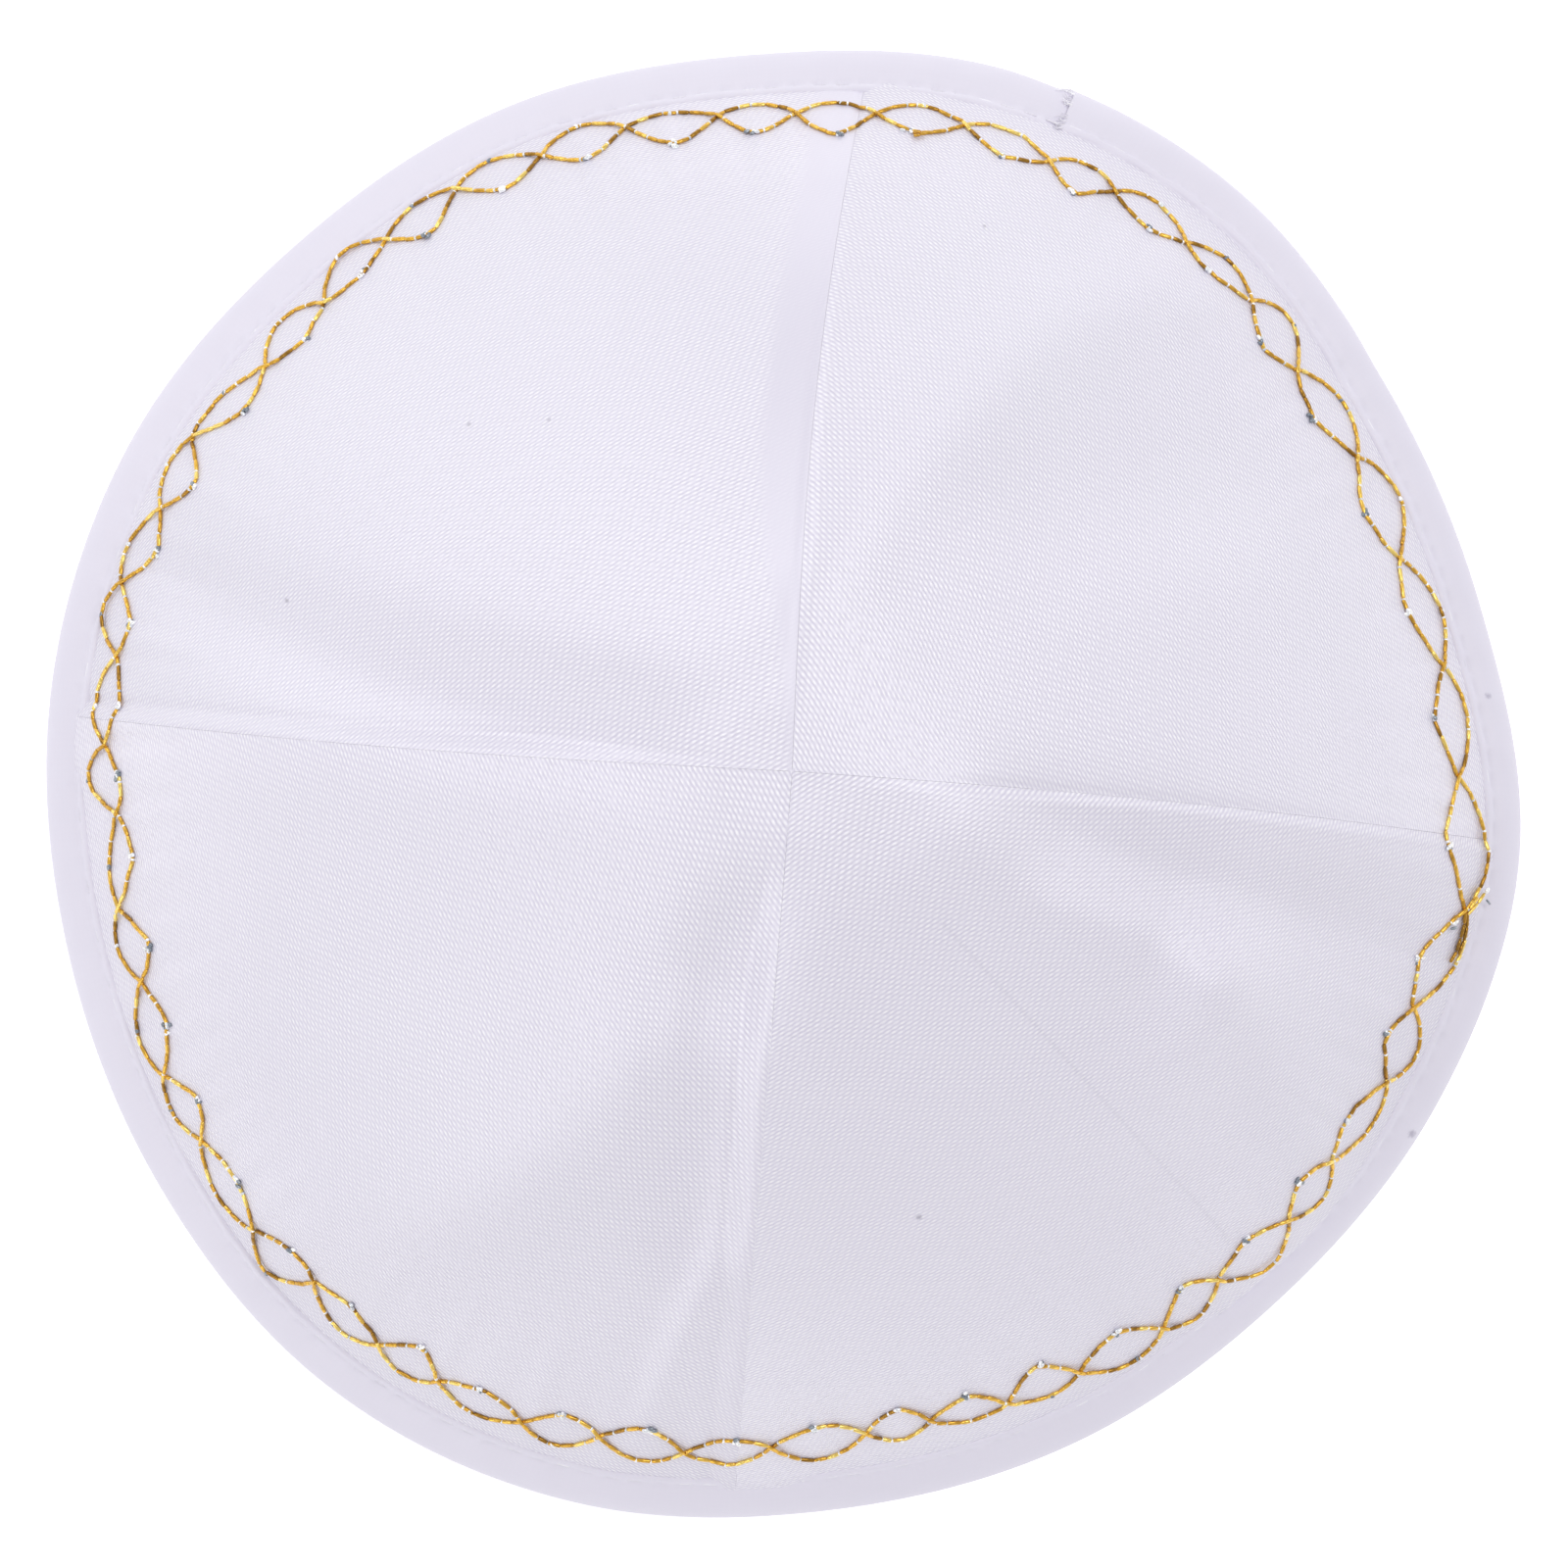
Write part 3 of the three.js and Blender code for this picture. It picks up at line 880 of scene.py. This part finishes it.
def tape_point(bearing, climb, out, lowest=0.0):
    """Points of the tape, from their climb up the slope and their distance out from the cloth's line."""
    top, edge = (cloth_point(bearing, way, fine=False) for way in UNDER_TAPE)
    down = edge - top
    down /= np.linalg.norm(down, axis=-1, keepdims=True)
    normal = np.array([0.0, 0.0, 1.0]) - down[..., 2:] * down
    normal /= np.linalg.norm(normal, axis=-1, keepdims=True)
    angle = np.radians(bearing)
    radius = cloth_radius(bearing)
    foot = np.stack([CROWN[0] + radius * np.cos(angle), CROWN[1] + radius * np.sin(angle)], axis=-1)
    foot = np.concatenate([foot, np.zeros_like(foot[..., :1])], axis=-1)
    point = foot - down * climb[..., None] + normal * out[..., None]
    point[..., 2] = np.maximum(point[..., 2], lowest)
    return point


def tape_section(bearing, at, lift=0.0):
    """The climb and the distance out at a place of the section, which lift moves outwards."""
    before, (climb, out), after = (
        [table_value(SECTION, "at", column, at + step) for column in ("climb", "out")]
        for step in (-0.01, 0, 0.01)
    )
    d_climb = after[0] - before[0]
    d_out = after[1] - before[1]
    size = np.maximum(np.hypot(d_climb, d_out), TINY)
    reach = np.where((at > OUTER_LEG) & (climb > 1), (tape_climb(bearing) - 1) / (SECTION_CLIMB - 1), 1.0)
    climb = np.where(climb > 1, 1 + (climb - 1) * reach, climb)
    return climb - lift * d_out / size, out + lift * d_climb / size


# %% [markdown]
# The stitches pull the tape in along a line, deeper under each thread than between two of them. The grid is
# fine enough round the rim to give each of these dents a few faces.

# %% Make the tape
ROUND = 1240
SECTION_STEPS = 36
# The depth of the line that the seam draws, and how much deeper it is under a thread
SEAM_DENT = 0.06
THREAD_DENT = 0.2
DENT_WIDE = 0.35
DENT_END = 0.5
TAPE_PUCKER = 0.06


def stitch_dent(bearing, climb):
    """How far a stitch pulls the tape in: a short dent every few millimetres."""
    along = np.mod(bearing / 360 * GIRTH, STITCH_PITCH)
    dash = smooth_step(along, 0.0, DENT_END) * (1 - smooth_step(along, STITCH_LONG - DENT_END, STITCH_LONG))
    line = np.exp(-(((climb - tape_climb(bearing) + STITCH_IN) / DENT_WIDE) ** 2))
    return -(SEAM_DENT + THREAD_DENT * dash) * line


def make_tape():
    """The folded strip as a sheet, and how wide it was cut."""
    sheet, around, across = grid_sheet("rim_binding_tape", ROUND, SECTION_STEPS)
    bearing = STRIP["start"] + around * (STRIP["end"] - STRIP["start"])
    # The grid is laid from the outer edge in, so that its faces look out of the fold.
    at = (1 - across) * SECTION_LAST
    under = 1 - smooth_step(bearing, LAP_END + 1, LAP_END + 1 + STRIP["ramp"])
    over = smooth_step(bearing, 360 + STRIP["start"] - STRIP["ramp"], 360 + STRIP["start"])
    lift = STRIP["under"] * under + STRIP["over"] * over
    climb, out = tape_section(bearing, at, lift)
    outside = smooth_step(at, 11.5, 13.5)
    along = bearing / 360 * GIRTH
    pucker = TAPE_PUCKER * np.sin(along / 1.3 + 1.4 * np.sin(along / 7.0)) * (1 - smooth_step(at, 17.0, 18.0))
    out = out + outside * (stitch_dent(bearing, climb) + pucker)
    climb = climb - LAP_NARROWER * over * smooth_step(at, 13.0, 17.0)
    lowest = np.where(under > 0.5, TAPE_THICK + LAYER_AIR, 0.0)
    points = tape_point(bearing, climb, out, lowest)
    long_way = np.concatenate([[0], np.cumsum(np.hypot(*np.diff(SECTION_LINE, axis=0).T))])
    flat = np.stack([along, np.interp(at, np.linspace(0, SECTION_LAST, len(long_way)), long_way)], axis=-1)
    move_points(sheet, points, flat)
    paint_points(sheet, "weave_shows_unshaded", np.full(len(points), 0.05))
    finish_sheet(sheet, TAPE_THICK)
    return sheet, long_way[-1]


SECTION_LINE = np.stack(tape_section(180.0, np.linspace(0, SECTION_LAST, 200)), axis=-1)
tape, tape_wide = make_tape()
tape_long = GIRTH * (STRIP["end"] - STRIP["start"]) / 360
print(tape.name, len(tape.data.polygons), "faces, cut", round(tape_long), "by", round(tape_wide, 1), "mm")
# Two small stains: x, y and radius in millimetres, and their colour
STAINS = [
    (81.1, -33.2, 0.7, "AFA9BC"),
    (83.8, 20.9, 0.5, "B4AEC2"),
]
# Bias tape of a smoother satin, calendered flat, so its weave hardly shows and its sheen is even
TAPE_SATIN = satin_material("polyester_satin_tape", "EFECF6", "DFDBEA", 0.5, 0.4, 0.4, 0.25, 0.2, STAINS)
tape.data.materials.append(TAPE_SATIN)
tape.data.materials.append(TAPE_SATIN)
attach(tape, "root")
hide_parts("rim_binding")
min(flat_area(tape) / 2, tape_long * tape_wide * MM * MM)

# %% [markdown]
# ## Stitches
#
# A machine stitch seen from above is a short length of thread that dips into the cloth at both ends. One is
# modelled as a small cylinder with rounded ends, and then laid hundreds of times, each turned,
# stretched and shaded on its own. All stitches of one thread are joined into one mesh, because a thread is
# one piece.

# %% One stitch
# How blunt a stitch's ends are, 1 being round, and how much thicker they are than its middle
BLUNT = 0.35
THICKER = 0.25


def model_bit(sides, rings):
    """The points and faces of one rounded bit of thread along X, 2 long and 2 across."""
    bpy.ops.object.select_all(action="DESELECT")
    bpy.ops.mesh.primitive_uv_sphere_add(segments=sides, ring_count=rings, radius=1, location=(0, 0, 0))
    bit = bpy.context.object
    bpy.ops.object.mode_set(mode="EDIT")
    bpy.ops.mesh.select_all(action="SELECT")
    bpy.ops.transform.rotate(value=math.pi / 2, orient_axis="Y", center_override=(0, 0, 0))
    bpy.ops.object.mode_set(mode="OBJECT")
    points = np.array([vertex.co for vertex in bit.data.vertices])
    faces = [list(face.vertices) for face in bit.data.polygons]
    bpy.data.objects.remove(bit, do_unlink=True)
    return points, faces


BIT_POINTS, BIT_FACES = model_bit(8, 6)
# A stitch is a tube with blunt ends, so the sphere's rings are spread along its length.
STITCH_POINTS = BIT_POINTS.copy()
STITCH_POINTS[:, 0] = np.sign(BIT_POINTS[:, 0]) * np.abs(BIT_POINTS[:, 0]) ** BLUNT
STITCH_POINTS[:, 1:] *= 1 + THICKER * np.abs(BIT_POINTS[:, :1]) ** 2
print("one bit:", len(BIT_POINTS), "points and", len(BIT_FACES), "faces")

# %% [markdown]
# Each bit is laid by three arrows: one from its start to its end, one across the thread and one up from the
# cloth. A copy could be an object of its own, but thousands of objects are slow, so the copies' points are
# gathered.

# %% A seam of many stitches
# A bit has few faces, so even its sharp angles are shaded as smooth.
THREAD_CREASE = math.radians(60)


def sew(name, bits, material):
    """Joins many bits of thread into one piece. A bit has two ends, a width, a height, a tone and a shape."""
    points = []
    faces = []
    tones = []
    count = 0
    for start, end, up, wide, high, tone, shape in bits:
        middle = (start + end) / 2
        along = (end - start) / 2
        side = np.cross(up, along)
        side /= np.linalg.norm(side)
        above = np.cross(along, side)
        above /= np.linalg.norm(above)
        turned = shape[:, :1] * along + shape[:, 1:2] * side * wide / 2 + shape[:, 2:] * above * high / 2
        points.append(middle + turned)
        faces += [[count + i for i in face] for face in BIT_FACES]
        tones.append(np.full(len(shape), tone))
        count += len(shape)
    mesh = bpy.data.meshes.new(name)
    mesh.from_pydata((np.concatenate(points) * MM).tolist(), [], faces)
    thread = bpy.data.objects.new(name, mesh)
    bpy.context.collection.objects.link(thread)
    paint_points(thread, "tone", np.concatenate(tones))
    thread.data.materials.append(material)
    select_only(thread)
    bpy.ops.object.mode_set(mode="EDIT")
    bpy.ops.mesh.select_all(action="SELECT")
    bpy.ops.mesh.normals_make_consistent(inside=False)
    bpy.ops.object.mode_set(mode="OBJECT")
    bpy.ops.object.shade_smooth_by_angle(angle=THREAD_CREASE)
    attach(thread, "root")
    print(name, len(bits), "bits,", len(faces), "faces")


def cloth_normal(bearing, way):
    """The cloth's outward normal."""
    across = cloth_point(bearing + 0.2, way, fine=False) - cloth_point(bearing - 0.2, way, fine=False)
    down = cloth_point(bearing, way + 0.004, fine=False) - cloth_point(bearing, way - 0.004, fine=False)
    normal = np.cross(down, across)
    return normal / np.linalg.norm(normal, axis=-1, keepdims=True)


# %% [markdown]
# ## Gold and silver thread
#
# The gold thread is a thin metallised foil wound round a core, so it shines like metal in short gleams,
# with brown between them; these gleams and the brown are painted into its colour as painted highlight and
# painted shade. The bobbin thread is silver, and it peeps out as small bright dots where two stitches meet,
# with painted highlight and painted shade in its tones too. Every stitch has its own tone, kept on its
# points, and fine slanting bands stand for the foil's winding.

# %% Thread materials
# Painted gleams are 0.7 mm long. The slanting bands are 0.4 mm apart, coarser than a real winding, so they
# show.
GLEAM_SCALE = 1500.0
WINDING_SCALE = 900.0
WINDING_HIGH = 0.05


def thread_material(name, shades, metallic, roughness):
    """A thread whose colour runs through some shades, from a bit's darkest tone to its lightest."""
    material = bpy.data.materials.new(name)
    material.use_nodes = True
    tree = material.node_tree
    shader = tree.nodes["Principled BSDF"]
    tone = add_node(tree, "ShaderNodeAttribute", attribute_name="tone").outputs["Fac"]
    place = add_node(tree, "ShaderNodeTexCoord").outputs["Object"]
    gleam = add_node(tree, "ShaderNodeTexNoise", {"Scale": GLEAM_SCALE, "Detail": 2.0}, {"Vector": place})
    mixed = add_node(
        tree, "ShaderNodeMath", {1: 0.6}, {0: gleam.outputs["Fac"], 2: tone}, operation="MULTIPLY_ADD"
    ).outputs[0]
    mixed = add_node(tree, "ShaderNodeMath", {1: 0.3}, {0: mixed}, operation="SUBTRACT").outputs[0]
    ramp = add_node(tree, "ShaderNodeValToRGB", {}, {"Fac": mixed})
    stops = ramp.color_ramp.elements
    while len(stops) < len(shades):
        stops.new(0.5)
    for i, shade in enumerate(shades):
        stops[i].position = i / (len(shades) - 1)
        stops[i].color = colour(shade)
    tree.links.new(ramp.outputs["Color"], shader.inputs["Base Color"])
    bands = {"Scale": WINDING_SCALE, "Distortion": 2.0}
    winding = add_node(tree, "ShaderNodeTexWave", bands, {"Vector": place}, bands_direction="DIAGONAL")
    relief = {"Strength": 0.5, "Distance": WINDING_HIGH * MM}
    relief = add_node(tree, "ShaderNodeBump", relief, {"Height": winding.outputs["Fac"]})
    tree.links.new(relief.outputs["Normal"], shader.inputs["Normal"])
    shader.inputs["Metallic"].default_value = metallic
    shader.inputs["Roughness"].default_value = roughness
    return material


# Metallised foil under yellow lacquer: painted gleams, and brown painted shade where it turns from the light
GOLD = thread_material("metallised_gold_thread", ["80602C", "C08E36", "EDBC4E", "FFE382"], 0.9, 0.3)
# The same foil under clear lacquer, its shades running from painted shade to painted highlight
SILVER = thread_material("metallised_silver_thread", ["7F8790", "C6CCD2", "F4F7FA", "FFFFFF"], 0.6, 0.3)
# Spun polyester, dull white
SEWING = thread_material("polyester_sewing_thread", ["D2CEDC", "E2DFEA", "EEECF5", "F8F7FC"], 0.0, 0.6)

# %% [markdown]
# ## The wave embroidery
#
# Two strands run round the cap and cross 48 times, which leaves 48 lenses. One strand is outside in every
# other lens. The rows below were read off the real cap: the bearing of a crossing, and how far from the
# rim, in millimetres seen from above, the crossing and the outer and inner points of the lens after it lie.

# %% The lenses, crossing by crossing
LENSES = [
    (6.6, 8.9, 6.0, 10.9), (16.3, 7.8, 5.8, 10.6), (26.4, 9.4, 5.7, 11.4), (36.1, 8.8, 6.6, 11.6),
    (45.5, 10.3, 6.6, 12.4), (52.6, 9.8, 8.3, 11.6), (60.3, 10.9, 8.4, 12.5), (67.9, 10.5, 8.8, 13.6),
    (74.0, 11.0, 8.5, 12.6), (81.9, 9.7, 7.9, 12.2), (89.6, 9.8, 7.8, 12.8), (96.5, 9.3, 7.4, 11.8),
    (103.3, 8.8, 7.2, 12.0), (111.4, 8.2, 6.2, 11.4), (119.0, 8.8, 6.2, 11.1), (126.8, 7.5, 6.1, 11.1),
    (134.2, 8.1, 5.5, 9.8), (141.7, 9.4, 6.6, 11.2), (149.2, 10.0, 7.5, 11.6), (157.7, 7.5, 6.5, 11.6),
    (164.2, 8.4, 6.1, 10.3), (171.1, 6.9, 5.6, 9.8), (177.1, 9.1, 6.7, 10.4), (184.6, 9.4, 6.5, 11.4),
    (190.3, 10.7, 8.4, 12.0), (198.4, 8.7, 7.3, 12.2), (204.8, 9.7, 6.5, 11.3), (212.7, 8.2, 6.8, 11.4),
    (218.8, 9.1, 6.6, 10.6), (227.4, 8.6, 6.0, 11.4), (233.8, 10.8, 7.6, 11.6), (241.2, 9.7, 7.8, 12.8),
    (246.8, 9.9, 7.7, 11.6), (254.4, 9.6, 7.5, 12.4), (260.8, 10.9, 7.9, 13.0), (267.9, 9.8, 8.4, 12.2),
    (275.3, 11.1, 7.8, 13.0), (283.4, 10.8, 8.6, 13.4), (289.0, 10.5, 8.6, 12.4), (295.9, 9.5, 7.8, 12.8),
    (302.6, 9.1, 6.2, 11.4), (310.8, 7.8, 6.0, 11.0), (317.0, 8.7, 5.2, 10.4), (325.0, 8.7, 6.5, 11.3),
    (331.2, 9.4, 6.8, 10.8), (339.5, 8.3, 6.1, 11.5), (346.2, 9.6, 5.9, 11.0), (355.4, 7.0, 5.3, 11.2),
]
outermost = min(row[2] for row in LENSES)
innermost = max(row[3] for row in LENSES)
print(len(LENSES), "lenses, from", outermost, "to", innermost, "mm from the rim")

# %% [markdown]
# Between two crossings the outer side of a lens is a round arc, and its inner side comes to a soft point,
# where the machine turned. At each crossing one strand passes over the other, so it rises there for a
# moment.

# %% The line of a strand
STEPS = 60
# Above 1, the outer arcs are fuller than a sine and the inner points are softer than a corner.
ROUNDNESS = 1.35
# Roughly how far the row of lenses is from the crown, seen from above
WAVE_RADIUS = 79
# How far the upper strand rises at a crossing, and over what length
OVER_HIGH = 0.3
OVER_LONG = 0.9
# The thread's middle lies this far over the cloth, and more where it crosses onto the tape.
THREAD_LIES = 0.2
TAPE_STEP = 0.3
TAPE_STARTS = (0.945, 0.96)


def strand_line(first_outer):
    """One strand as closely spaced rows of bearing, depth and height over the cloth."""
    rows = []
    for i, (start, depth, outer, inner) in enumerate(LENSES):
        after, next_depth = LENSES[(i + 1) % len(LENSES)][:2]
        wide = (after - start) % 360
        outside = (i % 2 == 0) == first_outer
        point = outer if outside else inner
        for s in np.linspace(0, 1, STEPS, endpoint=False):
            arc = math.sin(math.pi * s) ** (1 / ROUNDNESS)
            corner = 1 - abs(2 * s - 1) ** ROUNDNESS
            bulge = arc if outside else corner
            straight = depth + (next_depth - depth) * s
            middle = (depth + next_depth) / 2
            over = (i % 2 == 0) if s < 0.5 else (i % 2 == 1)
            near = min(s, 1 - s) * math.radians(wide) * WAVE_RADIUS
            lift = OVER_HIGH * math.exp(-((near / OVER_LONG) ** 2)) if over == first_outer else 0.0
            rows.append((start + wide * s, straight + (point - middle) * bulge, lift))
    return np.array(rows)


def strand_points(rows):
    """The strand's points and the cloth's normals there."""
    bearing, depth, lift = rows.T
    way = (rim_radius(bearing) - depth) / cloth_radius(bearing)
    out = THREAD_LIES + lift + TAPE_STEP * smooth_step(way, *TAPE_STARTS)
    return cloth_point(bearing, way, out), cloth_normal(bearing, way)


# %% [markdown]
# A strand is walked from stitch to stitch. Its stitches are 1.2 to 2.1 mm long, and each lies a hair aside
# of the line and catches the light in its own way. Chance is drawn from one set of dice with a fixed start,
# so the cap comes out the same every time. The silver bobbin thread shows as a dot between some stitches,
# as one pale dot at the outer side of a lens and as a knot of several loops at its inner point.

# %% Sew the two strands
dice = np.random.default_rng(7)
THREAD_WIDE = 0.56
THREAD_HIGH = 0.46
STITCHES = (1.2, 2.1)
# A stitch's tones from dark to bright, painted shade to painted gleam, and how many of all stitches have each
GOLD_TONES = [0.2, 0.5, 0.62, 0.75, 0.95]
GOLD_SHARES = [0.12, 0.28, 0.25, 0.2, 0.15]
# The silver's tones, from painted shade to painted highlight
SILVER_TONES = [0.05, 0.6, 0.95]
# The share of stitches that start with a dot, and half a dot's length
DOT_SHARE = 0.4
DOT_REACH = 0.22
# How far a stitch's ends stray from the line
ASIDE = 0.05
# What is left at the end of a strand is no shorter than this.
LAST_STITCH = 1.3


def knot_loops(place, normal, outside):
    """The short silver loops at a lens's point."""
    loops = []
    for _ in range(1 if outside else dice.integers(4, 7)):
        shift = normal * 0.1 + dice.normal(0, 0.3, 3) * (0.3 if outside else 1.0)
        middle = place + shift - normal * np.dot(shift, normal) * 0.7
        turn = dice.normal(0, 1, 3)
        turn -= normal * np.dot(turn, normal)
        turn *= dice.uniform(0.3, 0.52) / np.linalg.norm(turn)
        tone = dice.choice(SILVER_TONES)
        wide = dice.uniform(0.4, 0.62)
        loops.append((middle - turn, middle + turn, normal, wide, 0.5, tone, BIT_POINTS))
    return loops


def sew_strand(name, first_outer, dots, knots):
    """Lays the stitches of one strand, and gathers the silver dots and knots between them."""
    points, normals = strand_points(strand_line(first_outer))
    length = np.concatenate([[0], np.cumsum(np.linalg.norm(np.diff(points, axis=0), axis=1))])
    total = length[-1] + np.linalg.norm(points[0] - points[-1])
    points = np.concatenate([points, points[:1]])
    normals = np.concatenate([normals, normals[:1]])
    length = np.append(length, total)
    breaks = [0.0]
    while breaks[-1] < total - LAST_STITCH:
        breaks.append(breaks[-1] + dice.uniform(*STITCHES))
    breaks[-1] = total
    spots = np.stack([np.interp(breaks, length, points[:, i]) for i in range(3)], axis=-1)
    ups = np.stack([np.interp(breaks, length, normals[:, i]) for i in range(3)], axis=-1)
    bits = []
    for i in range(len(spots) - 1):
        start, end, up = spots[i], spots[i + 1], ups[i]
        tone = dice.choice(GOLD_TONES, p=GOLD_SHARES)
        side = np.cross(up, end - start)
        side /= np.linalg.norm(side)
        start = start + side * dice.normal(0, ASIDE)
        end = end + side * dice.normal(0, ASIDE) + (end - start) * 0.05
        bits.append((start, end, up, THREAD_WIDE, THREAD_HIGH, tone, STITCH_POINTS))
        if dice.random() < DOT_SHARE:
            reach = (end - start) / np.linalg.norm(end - start) * DOT_REACH
            dots.append((start - reach, start + reach, up, 0.5, 0.55, dice.uniform(0.4, 1.0), BIT_POINTS))
    for i in range(len(LENSES)):
        outside = (i % 2 == 0) == first_outer
        at = int(STEPS * i + STEPS // 2 + dice.integers(-4, 5))
        knots += knot_loops(points[at], normals[at], outside)
    print(name, "is", round(total), "mm long")
    sew(name, bits, GOLD)


dots = []
knots = []
sew_strand("wave_strand_a", True, dots, knots)
sew_strand("wave_strand_b", False, dots, knots)
sew("bobbin_silver_dots", dots + knots, SILVER)

# %% [markdown]
# ## Where the embroidery starts and ends
#
# The machine started and ended at the right, on the crossing at 355 degrees, and sewed there twice. That
# left doubled bright stitches, two short tails and a darker run of thread below them. Another small knot of
# gold sits at the back, close to the seam.

# %% The doubled start
# Each thread as its stations: a bearing, a depth from the rim and a height over the cloth
START_GOLD = [
    [(355.2, 7.1, 0.5), (356.3, 6.5, 0.6), (357.4, 6.0, 0.5)],
    [(355.0, 6.8, 0.7), (356.1, 6.0, 0.75), (357.0, 5.4, 0.6)],
    [(355.5, 7.0, 0.9), (356.6, 6.3, 0.9)],
]
START_DARK = [
    [(355.4, 7.0, 0.4), (354.2, 6.6, 0.45), (353.0, 6.5, 0.45), (351.8, 6.5, 0.45), (350.8, 6.8, 0.4)],
    [(355.3, 6.6, 0.3), (354.0, 6.1, 0.4), (352.8, 6.0, 0.4), (351.6, 6.1, 0.4)],
]
# The silver ones are single bits, round beads but for one short stitch, with width, height and tone.
START_SILVER = [
    {"run": [(357.0, 5.5, 0.8), (357.5, 5.1, 0.8)], "wide": 0.7, "high": 0.45, "tone": 0.85, "bead": True},
    {"run": [(356.5, 5.0, 0.7), (356.2, 4.3, 0.75)], "wide": 0.3, "high": 0.25, "tone": 0.0, "bead": False},
    {"run": [(354.4, 7.6, 0.5), (353.9, 8.4, 0.5)], "wide": 0.6, "high": 0.45, "tone": 0.7, "bead": True},
    {"run": [(353.8, 7.8, 0.7), (353.5, 8.6, 0.6)], "wide": 0.45, "high": 0.4, "tone": 0.2, "bead": True},
]
# The knot at the back: where it is, how far its loops scatter and how many it has
BACK_KNOT = {"bearing": 85.3, "depth": 12.6, "scatter": 0.4, "deep": 0.5, "loops": 5}


def cloth_way(bearing, depth):
    """The share of the way down at a distance from the rim."""
    return (rim_radius(bearing) - depth) / cloth_radius(bearing)


def on_cloth(bearing, depth, out):
    """A point on the cloth, from its bearing and its distance from the rim."""
    way = cloth_way(bearing, depth)
    return cloth_point(bearing, way, out + TAPE_STEP * smooth_step(way, *TAPE_STARTS))


def run_of_bits(stations, wide, high, tone, shape=STITCH_POINTS):
    """Bits from station to station, each a little lighter or darker than the tone."""
    spots = [on_cloth(*station) for station in stations]
    bearing, depth = stations[0][:2]
    up = cloth_normal(bearing, cloth_way(bearing, depth))
    return [
        (start, end, up, wide, high, tone + dice.uniform(-0.1, 0.1), shape)
        for start, end in zip(spots[:-1], spots[1:])
    ]


gold_bits = []
for stations in START_GOLD:
    gold_bits += run_of_bits(stations, 0.45, 0.4, 0.85)
for stations in START_DARK:
    gold_bits += run_of_bits(stations, 0.5, 0.42, 0.22)
for _ in range(BACK_KNOT["loops"]):
    bearing = BACK_KNOT["bearing"] + dice.uniform(-1, 1) * BACK_KNOT["scatter"]
    depth = BACK_KNOT["depth"] + dice.uniform(-1, 1) * BACK_KNOT["deep"]
    gold_bits += run_of_bits([(bearing, depth, 0.4), (bearing + 0.5, depth + 0.3, 0.5)], 0.4, 0.35, 0.4)
sew("wave_start_gold", gold_bits, GOLD)

silver_bits = []
for row in START_SILVER:
    shape = BIT_POINTS if row["bead"] else STITCH_POINTS
    silver_bits += run_of_bits(row["run"], row["wide"], row["high"], row["tone"], shape)
sew("wave_start_silver", silver_bits, SILVER)

# %% [markdown]
# ## Topstitch and frayed threads
#
# The topstitch holds the tape. Its stitches are sunk so far into the satin that they show as thin dashes.
# At the strip's raw end the weave comes apart, and a few of its fine threads stick out, furthest at the
# outer corner.

# %% The topstitch
# The seam's place in the tape's section, and how deep its thread is sunk
STITCH_AT = 15.35
SUNK = -0.13
# The free cloth before and after each stitch
BETWEEN = 0.25
SEWING_WIDE = 0.26
SEWING_HIGH = 0.2


def tape_surface(bearing, at, above):
    """A point a little above the tape's outside."""
    bearing = np.asarray(bearing, float)
    turned = np.mod(bearing, 360)
    lap = (turned > STRIP["start"] - 2) & (turned < LAP_END)
    lift = np.where(lap, STRIP["over"], 0.0) + above
    climb, out = tape_section(bearing, np.asarray(at, float), lift)
    return tape_point(bearing, climb - LAP_NARROWER * lap * smooth_step(at, 13.0, 17.0), out)


bits = []
for i in range(int(GIRTH / STITCH_PITCH)):
    start = (i * STITCH_PITCH + BETWEEN) / GIRTH * 360
    end = (i * STITCH_PITCH + STITCH_LONG - BETWEEN) / GIRTH * 360
    first = tape_surface(start, STITCH_AT, SUNK)
    last = tape_surface(end, STITCH_AT, SUNK)
    up = tape_surface(start, STITCH_AT, 0.6) - first
    bits.append((first, last, up, SEWING_WIDE, SEWING_HIGH, dice.uniform(0.2, 0.8), STITCH_POINTS))
sew("rim_topstitch", bits, SEWING)

# %% [markdown]
# A frayed thread is two bits, end to end, with a small bend between them. It starts just inside the cut and
# ends up to 2.4 mm past it. Every second one near the fold, which is the outer corner, is longer.

# %% The frayed end
FRAYED = 34
# Below this place of the section a thread is near the fold, where it is longer by so many degrees of bearing.
FOLD_CORNER = 11.5
LONGER = 1.2
UPWARD = np.array([0.0, 0.0, 1.0])

bits = []
for i in range(FRAYED):
    at = dice.uniform(10.0, 17.5)
    long = dice.uniform(0.4, 1.2) + (LONGER if at < FOLD_CORNER and i % 2 else 0.0)
    start = tape_surface(LAP_END - 0.2, at, -0.05)
    lean = dice.uniform(-0.5, 0.5)
    middle = tape_surface(LAP_END + long * 0.35, at - 0.2 * lean, dice.uniform(-0.1, 0.25))
    end = tape_surface(LAP_END + long * 0.65, at - lean, dice.uniform(-0.3, 0.5))
    tone = dice.uniform(0.2, 1.0)
    bits.append((start, middle + (middle - start) * 0.1, UPWARD, 0.12, 0.12, tone, STITCH_POINTS))
    bits.append((middle, end, UPWARD, 0.1, 0.1, tone, STITCH_POINTS))
sew("tape_end_fray", bits, SEWING)
